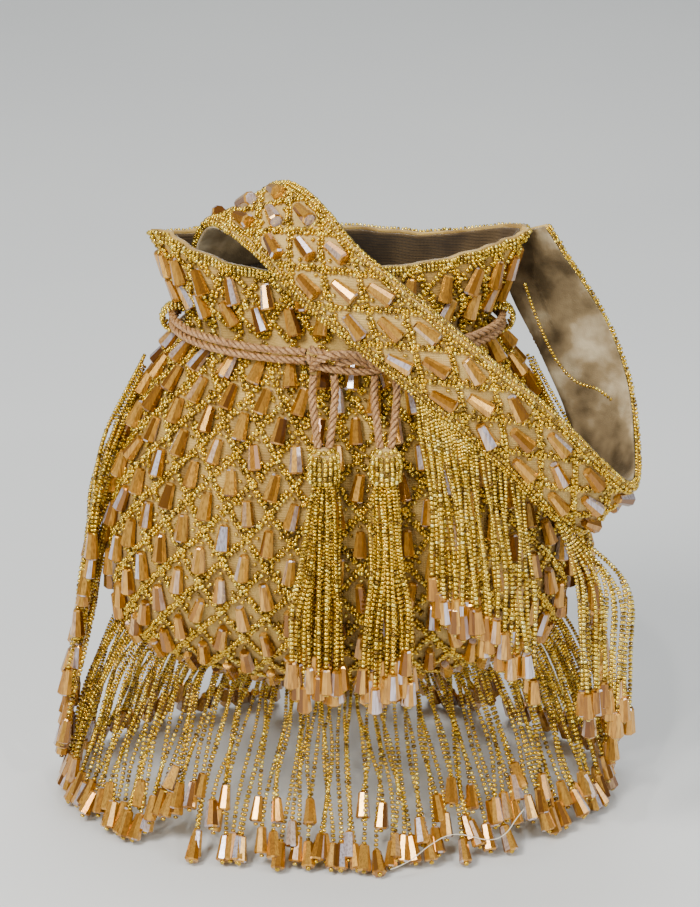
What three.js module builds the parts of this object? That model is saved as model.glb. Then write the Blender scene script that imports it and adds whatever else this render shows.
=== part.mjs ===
// Potli bag: a beaded drawstring pouch with a beaded shoulder strap, a doubled rope drawstring that
// ends in two tassels, and strings of beads all round the seams.
// Millimetres. +Z up, the front of the pouch faces -Y, +X to the wearer's left when carried in front.
// The lowest bead strings touch z = 0.
import * as THREE from "three";

// ---- driving dimensions -------------------------------------------------------------------------

const GAP = 0.4;

// The pouch is a stack of oval rings: [height, half width, half depth] from the bottom seam to the rim.
const BODY_RINGS = [
  [76, 84, 1.5],
  [79, 96, 26],
  [90, 106, 50],
  [112, 112, 66],
  [140, 114, 74],
  [172, 110, 74],
  [206, 101, 66],
  [236, 88, 54],
  [254, 77, 45],
  [262, 73, 42],
  [271, 75, 38],
  [286, 82, 33],
  [300, 88, 27],
  [308, 92, 24],
];
const NECK_RING = 9;
const RIM_RING = 13;
const SEAM_RISE = 22; // how far the bottom seam climbs towards the sides
const SEAM_RISE_RINGS = 5; // rings over which that climb dies out
const RUFFLE_WALL = 2.6;
const RUFFLE_FLOOR_HEIGHT = 268;
const RIM_DIP = 14; // how far the strap presses the front of the rim down
const BACK_RIM_DROP = 8; // how much lower the back of the rim has settled
const LINING_THICKNESS = 1.2;
const RING_SIDES = 44;

const CORD_DIAMETER = 4;
const CORD_SIDES = 8;
const CORD_SPACING = 4.6;
const NECK_CORD_HEIGHT = 262;
const NECK_CORD_OFFSET = 7.7; // from the neck to the middle of the rope

const STRAP_WIDTH = 38;
const STRAP_FACE_THICKNESS = 2.6;
const STRAP_LINING_THICKNESS = 1.2;
const STRAP_STEPS = 56;
const STRAP_GAP = 0.7;
// Strap stations from the left end, over the front, round the end of the loop and back to the rim:
// [centre x, y, z, direction across the band x, y, z]
const STRAP_STATIONS = [
  [-52, 8, 285, 0.92, 0.34, 0.05],
  [-50, 5, 304, 0.9, 0.36, 0.12],
  [-42, -6, 321, 0.78, 0.5, 0.36],
  [-24, -36, 323, 0.62, 0.4, 0.66],
  [-2, -63, 309, 0.53, 0.1, 0.84],
  [20, -72, 293, 0.52, -0.02, 0.85],
  [42, -78, 276, 0.52, -0.06, 0.85],
  [66, -80, 255, 0.52, -0.08, 0.85],
  [92, -77, 230, 0.52, -0.1, 0.85],
  [113, -69, 204, 0.53, -0.15, 0.83],
  [128, -55, 186, 0.56, -0.3, 0.78],
  [133, -35, 185, 0.62, -0.4, 0.68],
  [132, -14, 199, 0.68, -0.35, 0.64],
  [127, 3, 221, 0.74, -0.28, 0.6],
  [116, 12, 246, 0.86, -0.24, 0.45],
  [104, 15, 268, 0.86, -0.35, 0.32],
  [95, 16, 285, 0.8, -0.5, 0.2],
  [88, 18, 299, 0.76, -0.6, 0.1],
];

// x of the middle of each tassel's head, x of the foot of its skirt, and half the skirt's width there
const TASSELS = {
  left: { headX: -6.5, footX: -9.6, footRadius: 16 },
  right: { headX: 23, footX: 24.4, footRadius: 15.4 },
};
const TASSEL_PIVOT = { y: -57, z: 256 };
const LEG_SPACING = 10;
const LEG_BOTTOM_Z = 227.4;
const HEAD = { radiusX: 6.8, radiusY: 5, top: 226, bottom: 208.5, y: -75 };
const SKIRT = { top: 208, bottom: 88, radiusTop: 6.6, radiusY: 4.6, y: -82 };

const STRING_BUNDLE_THICKNESS = 5;
const FOOT_RING = { halfWidth: 140, halfDepth: 98 }; // where the bottom strings reach the ground
const FOOT_HEIGHT = 1.8; // of a sheaf's middle at its foot, whose underside is pressed flat
const BOTTOM_BUNDLES = 7; // on each face of the bag
const BOTTOM_BUNDLE_SPAN = 50; // degrees of the foot ring on each side of the middle
const BOTTOM_SEAM_SPAN = 70; // half length of seam that the bottom bundles hang from

const CREAM = 0xd9cdb2;
const SEED_GOLD = 0xb8912e;
const SEED_PALE = 0xc4a548;
const ROPE_COPPER = 0xb98b6b;
const VELVET_TAUPE = 0x7a6748;
const LINING_BROWN = 0x4f3f26;

// ---- helpers ------------------------------------------------------------------------------------

const bag = new THREE.Group();
bag.name = "potli_bag";

function material(colour, roughness, metalness = 0) {
  return new THREE.MeshStandardMaterial({ color: colour, roughness, metalness });
}

function addPiece(name, geometry, finish) {
  const mesh = new THREE.Mesh(geometry, finish);
  mesh.name = name;
  bag.add(mesh);
  return mesh;
}

const ringCurve = new THREE.CatmullRomCurve3(
  BODY_RINGS.map(([height, halfWidth, halfDepth]) => new THREE.Vector3(halfWidth, halfDepth, height)),
  false,
  "catmullrom",
  0.5,
);

// Half width, half depth and height of the ring at a position counted in rings.
function ringAt(position) {
  const point = ringCurve.getPoint(Math.min(Math.max(position / RIM_RING, 0), 1));
  return { halfWidth: point.x, halfDepth: Math.max(point.y, 0.1), height: point.z };
}

function seamRise(position) {
  const left = Math.max(0, 1 - position / SEAM_RISE_RINGS);
  return SEAM_RISE * left * left;
}

// A point of the pouch's outside; inset moves it towards the middle.
function bodyPoint(position, angle, inset = 0) {
  const ring = ringAt(position);
  const x = Math.cos(angle);
  const y = Math.sin(angle);
  const aboveNeck = Math.max(0, (position - NECK_RING) / (RIM_RING - NECK_RING));
  const frontDip = RIM_DIP * Math.max(0, -y) ** 3;
  const backDip = BACK_RIM_DROP * Math.max(0, y);
  const dip = aboveNeck * (frontDip + backDip);
  return new THREE.Vector3(
    Math.max(ring.halfWidth - inset, 0.1) * x,
    Math.max(ring.halfDepth - inset, 0.1) * y,
    ring.height + seamRise(position) * x * x - dip,
  );
}

// Turns a lathe of (scale, row) pairs into the shape that place(row, angle, scale) describes.
function warpedLathe(profile, place) {
  const geometry = new THREE.LatheGeometry(
    profile.map(([scale, row]) => new THREE.Vector2(scale, row)),
    RING_SIDES,
  );
  const spots = geometry.attributes.position;
  for (let i = 0; i < spots.count; i += 1) {
    const scale = Math.hypot(spots.getX(i), spots.getZ(i));
    const angle = Math.atan2(-spots.getZ(i), spots.getX(i));
    const point = place(spots.getY(i), angle, scale);
    spots.setXYZ(i, point.x, point.y, point.z);
  }
  geometry.computeVertexNormals();
  return geometry;
}

// A flat band that follows stations of { centre, across, width }; thickness lies along `out`.
function bandGeometry(stations, thickness, lift = 0, floor = -Infinity) {
  const steps = stations.length - 1;
  const geometry = new THREE.BoxGeometry(1, 1, 1, 2, 1, steps);
  const spots = geometry.attributes.position;
  for (let i = 0; i < spots.count; i += 1) {
    const station = stations[Math.round((spots.getZ(i) + 0.5) * steps)];
    const point = station.centre
      .clone()
      .addScaledVector(station.across, spots.getX(i) * station.width)
      .addScaledVector(station.out, spots.getY(i) * thickness + lift);
    spots.setXYZ(i, point.x, point.y, Math.max(point.z, floor));
  }
  geometry.computeVertexNormals();
  return geometry;
}

// Adds the direction of travel and the outward direction to each station and squares up `across`.
function squaredStations(stations) {
  return stations.map((station, i) => {
    const ahead = stations[Math.min(i + 1, stations.length - 1)].centre;
    const behind = stations[Math.max(i - 1, 0)].centre;
    const along = ahead.clone().sub(behind).normalize();
    const across = station.across.clone();
    across.addScaledVector(along, -across.dot(along)).normalize();
    const out = new THREE.Vector3().crossVectors(along, across);
    return { ...station, along, across, out };
  });
}

function resampled(points, steps) {
  const curve = new THREE.CatmullRomCurve3(points, false, "catmullrom", 0.5);
  return Array.from({ length: steps + 1 }, (_, i) => curve.getPoint(i / steps));
}

function roundSection(radius, sides) {
  const section = new THREE.Shape();
  for (let i = 0; i < sides; i += 1) {
    const angle = ((i + 0.5) / sides) * Math.PI * 2;
    section[i ? "lineTo" : "moveTo"](radius * Math.cos(angle), radius * Math.sin(angle));
  }
  section.closePath();
  return section;
}

function cordGeometry(points, steps, diameter = CORD_DIAMETER) {
  return new THREE.ExtrudeGeometry(roundSection(diameter / 2, CORD_SIDES), {
    steps,
    curveSegments: 1,
    bevelEnabled: false,
    extrudePath: new THREE.CatmullRomCurve3(points, false, "catmullrom", 0.5),
  });
}

// ---- pouch, one stuffed body of cloth drawn shut at the neck, open above it ---------------------

function makePouch() {
  const outer = [];
  for (let row = 0; row <= RIM_RING * 2; row += 1) {
    outer.push([1, row / 2]);
  }
  const inner = [];
  for (let row = RIM_RING * 2; row >= NECK_RING * 2 + 3; row -= 1) {
    inner.push([2, row / 2]);
  }
  const profile = [[0, 0], ...outer, ...inner, [0, NECK_RING]];
  return warpedLathe(profile, (row, angle, scale) => {
    if (scale < 0.5) {
      return new THREE.Vector3(0, 0, row > 0 ? RUFFLE_FLOOR_HEIGHT : BODY_RINGS[0][0]);
    }
    return bodyPoint(row, angle, scale > 1.5 ? RUFFLE_WALL : 0);
  });
}

function makeMouthLining() {
  const rows = [];
  for (let row = NECK_RING * 2 + 4; row <= RIM_RING * 2 - 1; row += 1) {
    rows.push(row / 2);
  }
  const outer = rows.map((row) => [2, row]);
  const inner = rows.map((row) => [1, row]).reverse();
  const outerInset = RUFFLE_WALL + GAP;
  const profile = [...outer, ...inner, outer[0]];
  return warpedLathe(profile, (row, angle, scale) =>
    bodyPoint(row, angle, scale > 1.5 ? outerInset : outerInset + LINING_THICKNESS),
  );
}

addPiece("pouch", makePouch(), material(CREAM, 0.6));
addPiece("mouth_lining", makeMouthLining(), material(LINING_BROWN, 0.9));

// ---- strap --------------------------------------------------------------------------------------

function strapStations() {
  const centres = resampled(STRAP_STATIONS.map(([x, y, z]) => new THREE.Vector3(x, y, z)), STRAP_STEPS);
  const acrosses = resampled(
    STRAP_STATIONS.map(([, , , x, y, z]) => new THREE.Vector3(x, y, z)),
    STRAP_STEPS,
  );
  return squaredStations(
    centres.map((centre, i) => ({ centre, across: acrosses[i], width: STRAP_WIDTH })),
  );
}

const strap = strapStations();
const strapFaceLift = (STRAP_FACE_THICKNESS + STRAP_GAP) / 2;
const strapLiningLift = -(STRAP_LINING_THICKNESS + STRAP_GAP) / 2;
addPiece(
  "strap_face",
  bandGeometry(strap, STRAP_FACE_THICKNESS, strapFaceLift),
  material(SEED_GOLD, 0.4, 0.5),
);
addPiece(
  "strap_lining",
  bandGeometry(strap, STRAP_LINING_THICKNESS, strapLiningLift),
  material(VELVET_TAUPE, 0.8),
);

// ---- drawstring ---------------------------------------------------------------------------------

function neckCordPoint(angle, height) {
  const ring = ringAt(NECK_RING);
  return new THREE.Vector3(
    (ring.halfWidth + NECK_CORD_OFFSET) * Math.cos(angle),
    (ring.halfDepth + NECK_CORD_OFFSET) * Math.sin(angle),
    height,
  );
}

// A cord starts left of the knot, goes round the back and ends right of the knot.
function neckCordPoints(height) {
  const points = [];
  const start = THREE.MathUtils.degToRad(-100.8);
  const end = THREE.MathUtils.degToRad(-427);
  const turns = 30;
  for (let i = 0; i <= turns; i += 1) {
    points.push(neckCordPoint(start + ((end - start) * i) / turns, height));
  }
  return points;
}

["lower", "upper"].forEach((name, i) => {
  const height = NECK_CORD_HEIGHT + (i - 0.5) * CORD_SPACING;
  addPiece(`drawstring_${name}`, cordGeometry(neckCordPoints(height), 76), material(ROPE_COPPER, 0.5));
});

// ---- knot, where the two ropes cross in front ---------------------------------------------------

function makeKnot() {
  const geometry = new THREE.CapsuleGeometry(5.2, 33, 4, 12);
  geometry.rotateZ(Math.PI / 2);
  geometry.scale(1, 0.62, 1.05);
  return geometry;
}

const knot = addPiece("drawstring_knot", makeKnot(), material(ROPE_COPPER, 0.5));
knot.position.set(8.2, -52.6, 262.8);

// ---- loops at the sides of the neck that the ropes run through ----------------------------------

function makeCordLoop() {
  const halfHeight = 6.6;
  const wall = 1.4;
  const reach = 7.8;
  const outline = new THREE.Shape();
  outline.moveTo(0, -halfHeight);
  outline.lineTo(reach - 2, -halfHeight);
  outline.quadraticCurveTo(reach, -halfHeight, reach, -halfHeight + 2);
  outline.lineTo(reach, halfHeight - 2);
  outline.quadraticCurveTo(reach, halfHeight, reach - 2, halfHeight);
  outline.lineTo(0, halfHeight);
  outline.closePath();
  const opening = new THREE.Path();
  opening.moveTo(wall, -halfHeight + wall);
  opening.lineTo(wall, halfHeight - wall);
  opening.lineTo(reach - wall, halfHeight - wall);
  opening.lineTo(reach - wall, -halfHeight + wall);
  opening.closePath();
  outline.holes.push(opening);
  const geometry = new THREE.ExtrudeGeometry(outline, { depth: 8, bevelEnabled: false, curveSegments: 3 });
  geometry.rotateX(Math.PI / 2);
  geometry.translate(0, 4, 0);
  return geometry;
}

[["left", -1], ["right", 1]].forEach(([side, sign]) => {
  const loop = addPiece(`cord_loop_${side}`, makeCordLoop(), material(SEED_PALE, 0.4, 0.5));
  loop.rotation.z = sign > 0 ? 0 : Math.PI;
  loop.position.set(sign * (ringAt(NECK_RING).halfWidth + 3.8), 0, NECK_CORD_HEIGHT);
});

// ---- tassels: two rope legs, a beaded head and a skirt of bead strings --------------------------

function legPoints(middleX, side) {
  const drop = (TASSEL_PIVOT.z - LEG_BOTTOM_Z) / 3;
  const topX = middleX + (side * LEG_SPACING) / 2;
  return [
    new THREE.Vector3(topX, TASSEL_PIVOT.y, TASSEL_PIVOT.z - 0.5),
    new THREE.Vector3(topX + side * 0.4, TASSEL_PIVOT.y - 5.5, TASSEL_PIVOT.z - drop),
    new THREE.Vector3(middleX + side * 4.2, TASSEL_PIVOT.y - 11, TASSEL_PIVOT.z - 2 * drop),
    new THREE.Vector3(middleX + side * 2.6, HEAD.y + 0.5, LEG_BOTTOM_Z),
  ];
}

function makeHead() {
  const geometry = new THREE.CylinderGeometry(1, 1, HEAD.top - HEAD.bottom, 20, 1);
  geometry.rotateX(Math.PI / 2);
  geometry.scale(HEAD.radiusX, HEAD.radiusY, 1);
  return geometry;
}

function makeSkirt({ headX, footX, footRadius }) {
  const height = SKIRT.top - SKIRT.bottom;
  const geometry = new THREE.CylinderGeometry(1, 1, height, 20, 6);
  geometry.rotateX(Math.PI / 2);
  const spots = geometry.attributes.position;
  for (let i = 0; i < spots.count; i += 1) {
    const down = 0.5 - spots.getZ(i) / height;
    const radiusX = THREE.MathUtils.lerp(SKIRT.radiusTop, footRadius, down);
    const middleY = THREE.MathUtils.lerp(HEAD.y, SKIRT.y, Math.min(1, down * 3));
    spots.setXYZ(
      i,
      THREE.MathUtils.lerp(headX, footX, down) + spots.getX(i) * radiusX,
      middleY + spots.getY(i) * SKIRT.radiusY,
      spots.getZ(i) + (SKIRT.top + SKIRT.bottom) / 2,
    );
  }
  geometry.computeVertexNormals();
  return geometry;
}

Object.entries(TASSELS).forEach(([side, tassel]) => {
  [["a", -1], ["b", 1]].forEach(([letter, sign]) => {
    const geometry = cordGeometry(legPoints(tassel.headX, sign), 12);
    addPiece(`tassel_${side}_rope_${letter}`, geometry, material(ROPE_COPPER, 0.5));
  });
  const head = addPiece(`tassel_${side}_head`, makeHead(), material(SEED_GOLD, 0.35, 0.6));
  head.position.set(tassel.headX, HEAD.y, (HEAD.top + HEAD.bottom) / 2);
  addPiece(`tassel_${side}_skirt`, makeSkirt(tassel), material(SEED_GOLD, 0.35, 0.6));
});

// ---- bead strings under the bottom seam ---------------------------------------------------------

function seamPoint(x) {
  const share = x / BODY_RINGS[0][1];
  return new THREE.Vector3(x, 0, BODY_RINGS[0][0] + SEAM_RISE * share * share);
}

// Stations of a sheaf that leaves `start`, falls outwards and puts its ends on the ground at `foot`.
function sheafStations(start, foot, acrossStart, acrossFoot, widthStart, widthFoot) {
  const shares = [0, 0.28, 0.6, 0.84, 0.94, 1];
  const heights = [1, 0.83, 0.5, 0.16, 0, 0];
  const points = shares.map((share, i) =>
    new THREE.Vector3(
      THREE.MathUtils.lerp(start.x, foot.x, share),
      THREE.MathUtils.lerp(start.y, foot.y, share),
      foot.z + (start.z - foot.z) * heights[i],
    ),
  );
  return squaredStations(
    resampled(points, 10).map((centre, i) => ({
      centre,
      across: acrossStart.clone().lerp(acrossFoot, i / 10),
      width: THREE.MathUtils.lerp(widthStart, widthFoot, i / 10),
    })),
  );
}

function makeSheaf(stations) {
  return bandGeometry(stations, STRING_BUNDLE_THICKNESS, 0, 0);
}

function addBottomSheaves(face, sign) {
  for (let i = 0; i < BOTTOM_BUNDLES; i += 1) {
    const share = (i / (BOTTOM_BUNDLES - 1)) * 2 - 1;
    const seam = seamPoint(share * BOTTOM_SEAM_SPAN);
    const slope = seamPoint(share * BOTTOM_SEAM_SPAN + 1).sub(seam).normalize();
    const turn = THREE.MathUtils.degToRad(share * BOTTOM_BUNDLE_SPAN);
    const start = new THREE.Vector3(seam.x, sign * 6.5, seam.z - 4.5 - 4 * share * share);
    const foot = new THREE.Vector3(
      FOOT_RING.halfWidth * Math.sin(turn),
      sign * FOOT_RING.halfDepth * Math.cos(turn),
      FOOT_HEIGHT,
    );
    const along = new THREE.Vector3(
      FOOT_RING.halfWidth * Math.cos(turn),
      -sign * FOOT_RING.halfDepth * Math.sin(turn),
      0,
    ).normalize();
    const stations = sheafStations(start, foot, slope, along, 22, 31);
    addPiece(`${face}_bead_strings_${i + 1}`, makeSheaf(stations), material(SEED_GOLD, 0.35, 0.6));
  }
}

addBottomSheaves("front", -1);
addBottomSheaves("back", 1);

// ---- bead strings down the side seams -----------------------------------------------------------

const SIDE_SHEAVES = [
  {
    name: "lower_front",
    path: [[97, -10, 85], [110, -19, 66], [124, -29, 40], [134, -37, 17], [142.7, -43, 1.5]],
    across: [0.35, -0.9, 0],
    widths: [14, 30],
  },
  {
    name: "lower_back",
    path: [[97, 10, 85], [110, 19, 66], [124, 29, 40], [134, 37, 17], [142.7, 43, 1.5]],
    across: [-0.35, -0.9, 0],
    widths: [14, 30],
  },
  {
    name: "middle",
    path: [[120.5, 0, 126], [124, 0, 102], [129, 0, 72], [134, 0, 42], [138, 0, 20]],
    across: [0, -1, 0],
    widths: [24, 36],
  },
  {
    name: "upper",
    path: [[92.5, 0, 244], [104.5, 0, 216], [112.5, 0, 190], [117, 0, 165], [119.5, 0, 136]],
    across: [0, -1, 0],
    widths: [18, 30],
  },
];

function addSideSheaves(side, sign) {
  SIDE_SHEAVES.forEach(({ name, path, across, widths }) => {
    const points = path.map(([x, y, z]) => new THREE.Vector3(sign * x, y, z));
    const stations = squaredStations(
      resampled(points, 10).map((centre, i) => ({
        centre,
        across: new THREE.Vector3(sign * across[0], across[1], across[2]),
        width: THREE.MathUtils.lerp(widths[0], widths[1], i / 10),
      })),
    );
    addPiece(`${side}_bead_strings_${name}`, makeSheaf(stations), material(SEED_GOLD, 0.35, 0.6));
  });
}

addSideSheaves("left", -1);
addSideSheaves("right", 1);

// ---- bead strings under the lower edge of the strap ---------------------------------------------

const STRAP_SHEAVES = [
  { path: [[43.5, -81, 234], [49, -84, 205], [53, -86, 171], [54, -86, 134]], width: 15 },
  { path: [[61.5, -81, 220], [67, -85, 191], [70, -86, 156], [71, -85, 118]], width: 14 },
  { path: [[81, -78, 201], [84, -83, 173], [86, -83, 140], [87, -81, 104]], width: 12 },
  { path: [[119, -48, 158], [122, -52, 132], [125, -55, 102], [126, -58, 66]], width: 13 },
  { path: [[134.5, -29, 158], [137, -32, 131], [139, -34, 99], [140, -36, 62]], width: 13 },
];

STRAP_SHEAVES.forEach(({ path, width }, index) => {
  const points = path.map(([x, y, z]) => new THREE.Vector3(x, y, z));
  const stations = squaredStations(
    resampled(points, 8).map((centre) => ({ centre, across: new THREE.Vector3(1, 0.15, 0), width })),
  );
  addPiece(`strap_bead_strings_${index + 1}`, makeSheaf(stations), material(SEED_PALE, 0.35, 0.6));
});

// ---- the loose bead string over the strap's inner face ------------------------------------------

const LOOSE_STRING_POINTS = [
  [91, 2, 279],
  [97, -1, 262],
  [106, -6, 243],
  [116, -10, 232],
  [127, -16, 230],
  [134, -20, 226],
];

addPiece(
  "loose_bead_string",
  cordGeometry(LOOSE_STRING_POINTS.map(([x, y, z]) => new THREE.Vector3(x, y, z)), 16, 1.8),
  material(SEED_PALE, 0.35, 0.6),
);

export default bag;
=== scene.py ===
"""Potli bag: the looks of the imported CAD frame, in metres, +Z up, front face towards -Y.

The cloth, ropes, velvet and every bead string are modelled here. The pieces ride on the CAD bodies,
so the tassels lift with their joints. The beads are modelled once each and copied along the strings.
"""

import logging
import math
from dataclasses import dataclass, field
from enum import Enum
from typing import Optional, Sequence

import bpy
import numpy as np
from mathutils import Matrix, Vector


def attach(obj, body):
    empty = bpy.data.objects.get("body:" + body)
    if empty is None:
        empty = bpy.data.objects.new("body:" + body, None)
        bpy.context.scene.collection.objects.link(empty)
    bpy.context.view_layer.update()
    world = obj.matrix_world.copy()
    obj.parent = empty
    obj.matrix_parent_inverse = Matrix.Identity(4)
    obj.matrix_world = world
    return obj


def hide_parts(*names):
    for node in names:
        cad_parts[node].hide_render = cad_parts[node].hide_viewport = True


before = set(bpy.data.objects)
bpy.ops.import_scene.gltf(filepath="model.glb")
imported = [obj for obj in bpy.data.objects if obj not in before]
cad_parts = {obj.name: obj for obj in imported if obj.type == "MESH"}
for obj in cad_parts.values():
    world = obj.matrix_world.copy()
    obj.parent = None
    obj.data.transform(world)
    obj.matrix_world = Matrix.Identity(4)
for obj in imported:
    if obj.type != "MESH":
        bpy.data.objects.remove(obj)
LOG = logging.getLogger("potli_bag")
MM = 0.001
SEED = 4127

Array = np.ndarray


class Body(str, Enum):
    """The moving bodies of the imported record."""

    BAG = "bag"
    LEFT = "tassel_left"
    RIGHT = "tassel_right"


class Slot(str, Enum):
    """The record's material slots."""

    CLOTH = "embroidered_cloth"
    LINING = "brown_lining"
    BAND = "beaded_band"
    VELVET = "velvet"
    ROPE = "rope"
    BEADS = "seed_beads"


# ---- small numeric helpers ----------------------------------------------------------------------


def mm(*values: float) -> Array:
    """Gives millimetres as an array of metres."""
    return np.array(values, dtype=float) * MM


def unit(vectors: Array) -> Array:
    """Scales vectors in the last axis to length one."""
    length = np.linalg.norm(vectors, axis=-1, keepdims=True)
    return vectors / np.maximum(length, 1e-12)


def catmull(points: Array, t: Array) -> Array:
    """Samples an open Catmull-Rom curve.

    Args:
        points: (n, d) control points.
        t: positions from 0 to 1, spaced evenly over the control points.

    Returns:
        (len(t), d) sampled points.
    """
    points = np.asarray(points, dtype=float)
    last = len(points) - 1
    padded = np.vstack([2 * points[0] - points[1], points, 2 * points[-1] - points[-2]])
    place = np.clip(np.asarray(t, dtype=float), 0, 1) * last
    index = np.minimum(place.astype(int), last - 1)
    w = (place - index)[:, None]
    p0, p1, p2, p3 = (padded[index + k] for k in range(4))
    return 0.5 * (
        2 * p1 + (p2 - p0) * w + (2 * p0 - 5 * p1 + 4 * p2 - p3) * w**2 + (3 * p1 - p0 - 3 * p2 + p3) * w**3
    )


def smooth_path(points: Array, count: int = 60) -> Array:
    """Gives a dense polyline along the Catmull-Rom curve through the points."""
    return catmull(points, np.linspace(0, 1, count))


def walk(path: Array, distances: Array) -> Array:
    """Gives the points at the distances along a polyline."""
    steps = np.linalg.norm(np.diff(path, axis=0), axis=1)
    run = np.concatenate([[0], np.cumsum(steps)])
    return np.stack([np.interp(distances, run, path[:, k]) for k in range(path.shape[1])], axis=1)


def path_length(path: Array) -> float:
    """Gives the length of a polyline."""
    return float(np.linalg.norm(np.diff(path, axis=0), axis=1).sum())


# ---- shapes ---------------------------------------------------------------------------------------


def deselect_all() -> None:
    """Leaves nothing selected."""
    if bpy.context.object and bpy.context.object.mode != "OBJECT":
        bpy.ops.object.mode_set(mode="OBJECT")
    bpy.ops.object.select_all(action="DESELECT")


def select_only(obj: bpy.types.Object) -> None:
    """Makes one object selected and active."""
    deselect_all()
    obj.select_set(True)
    bpy.context.view_layer.objects.active = obj


def apply_all(obj: bpy.types.Object) -> None:
    """Applies every modifier of an object in order."""
    select_only(obj)
    for modifier in list(obj.modifiers):
        bpy.ops.object.modifier_apply(modifier=modifier.name)


def move_points(obj: bpy.types.Object, places: Array) -> None:
    """Puts an object's vertices at the places."""
    obj.data.vertices.foreach_set("co", np.asarray(places, dtype=np.float32).ravel())
    obj.data.update()


def points_of(obj: bpy.types.Object) -> Array:
    """Gives an object's vertices as an (n, 3) array."""
    co = np.empty(len(obj.data.vertices) * 3, dtype=np.float32)
    obj.data.vertices.foreach_get("co", co)
    return co.reshape(-1, 3).astype(float)


def recalculate_normals(obj: bpy.types.Object) -> None:
    """Turns an object's faces outwards."""
    select_only(obj)
    bpy.ops.object.mode_set(mode="EDIT")
    bpy.ops.mesh.select_all(action="SELECT")
    bpy.ops.mesh.normals_make_consistent(inside=False)
    bpy.ops.object.mode_set(mode="OBJECT")


def shade_smooth(obj: bpy.types.Object) -> None:
    """Shades an object smooth all over."""
    obj.data.polygons.foreach_set("use_smooth", [True] * len(obj.data.polygons))
    obj.data.update()


def extruded_rings(name: str, sides: int, rings: Sequence[tuple[float, float]]) -> bpy.types.Object:
    """Models a closed turned shape along +Z from a filled circle.

    Args:
        name: the object's name.
        sides: number of sides.
        rings: (height, radius) of each ring from the bottom up.

    Returns:
        The object, with its faces out.
    """
    deselect_all()
    first_height, first_radius = rings[0]
    bpy.ops.mesh.primitive_circle_add(
        vertices=sides, radius=first_radius, fill_type="NGON", location=(0, 0, first_height)
    )
    obj = bpy.context.object
    obj.name = name
    bpy.ops.object.transform_apply(location=True, rotation=False, scale=False)
    bpy.ops.object.mode_set(mode="EDIT")
    bpy.ops.mesh.select_all(action="SELECT")
    for (low, small), (high, large) in zip(rings, rings[1:]):
        bpy.ops.mesh.extrude_region_move(TRANSFORM_OT_translate={"value": (0, 0, high - low)})
        grow = large / small
        bpy.ops.transform.resize(value=(grow, grow, 1), center_override=(0, 0, high))
    bpy.ops.object.mode_set(mode="OBJECT")
    recalculate_normals(obj)
    return obj


def barrel(name: str, sides: int, shoulder: float) -> bpy.types.Object:
    """Models a rounded seed from a sphere with two rings.

    Args:
        name: the object's name.
        sides: number of sides.
        shoulder: height of its two rings above and below the middle, for a length of one.

    Returns:
        The object.
    """
    deselect_all()
    bpy.ops.mesh.primitive_uv_sphere_add(segments=sides, ring_count=3, radius=1.0)
    obj = bpy.context.object
    obj.name = name
    places = points_of(obj)
    around = np.linalg.norm(places[:, :2], axis=1)
    ring = around > 0.1
    places[ring, :2] /= around[ring, None]
    places[ring, 2] = np.sign(places[ring, 2]) * shoulder
    places[~ring, 2] = np.sign(places[~ring, 2]) * 0.5
    move_points(obj, places)
    recalculate_normals(obj)
    return obj


@dataclass
class Template:
    """One modelled bead, ready to be copied."""

    points: Array
    faces: list[list[int]]
    facets: Array

    @classmethod
    def of(cls, obj: bpy.types.Object) -> "Template":
        """Reads the bead from an object and removes the object."""
        points = points_of(obj)
        faces = [list(p.vertices) for p in obj.data.polygons]
        facets = np.array([p.index for p in obj.data.polygons], dtype=float)
        bpy.data.objects.remove(obj)
        return cls(points, faces, facets)


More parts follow.
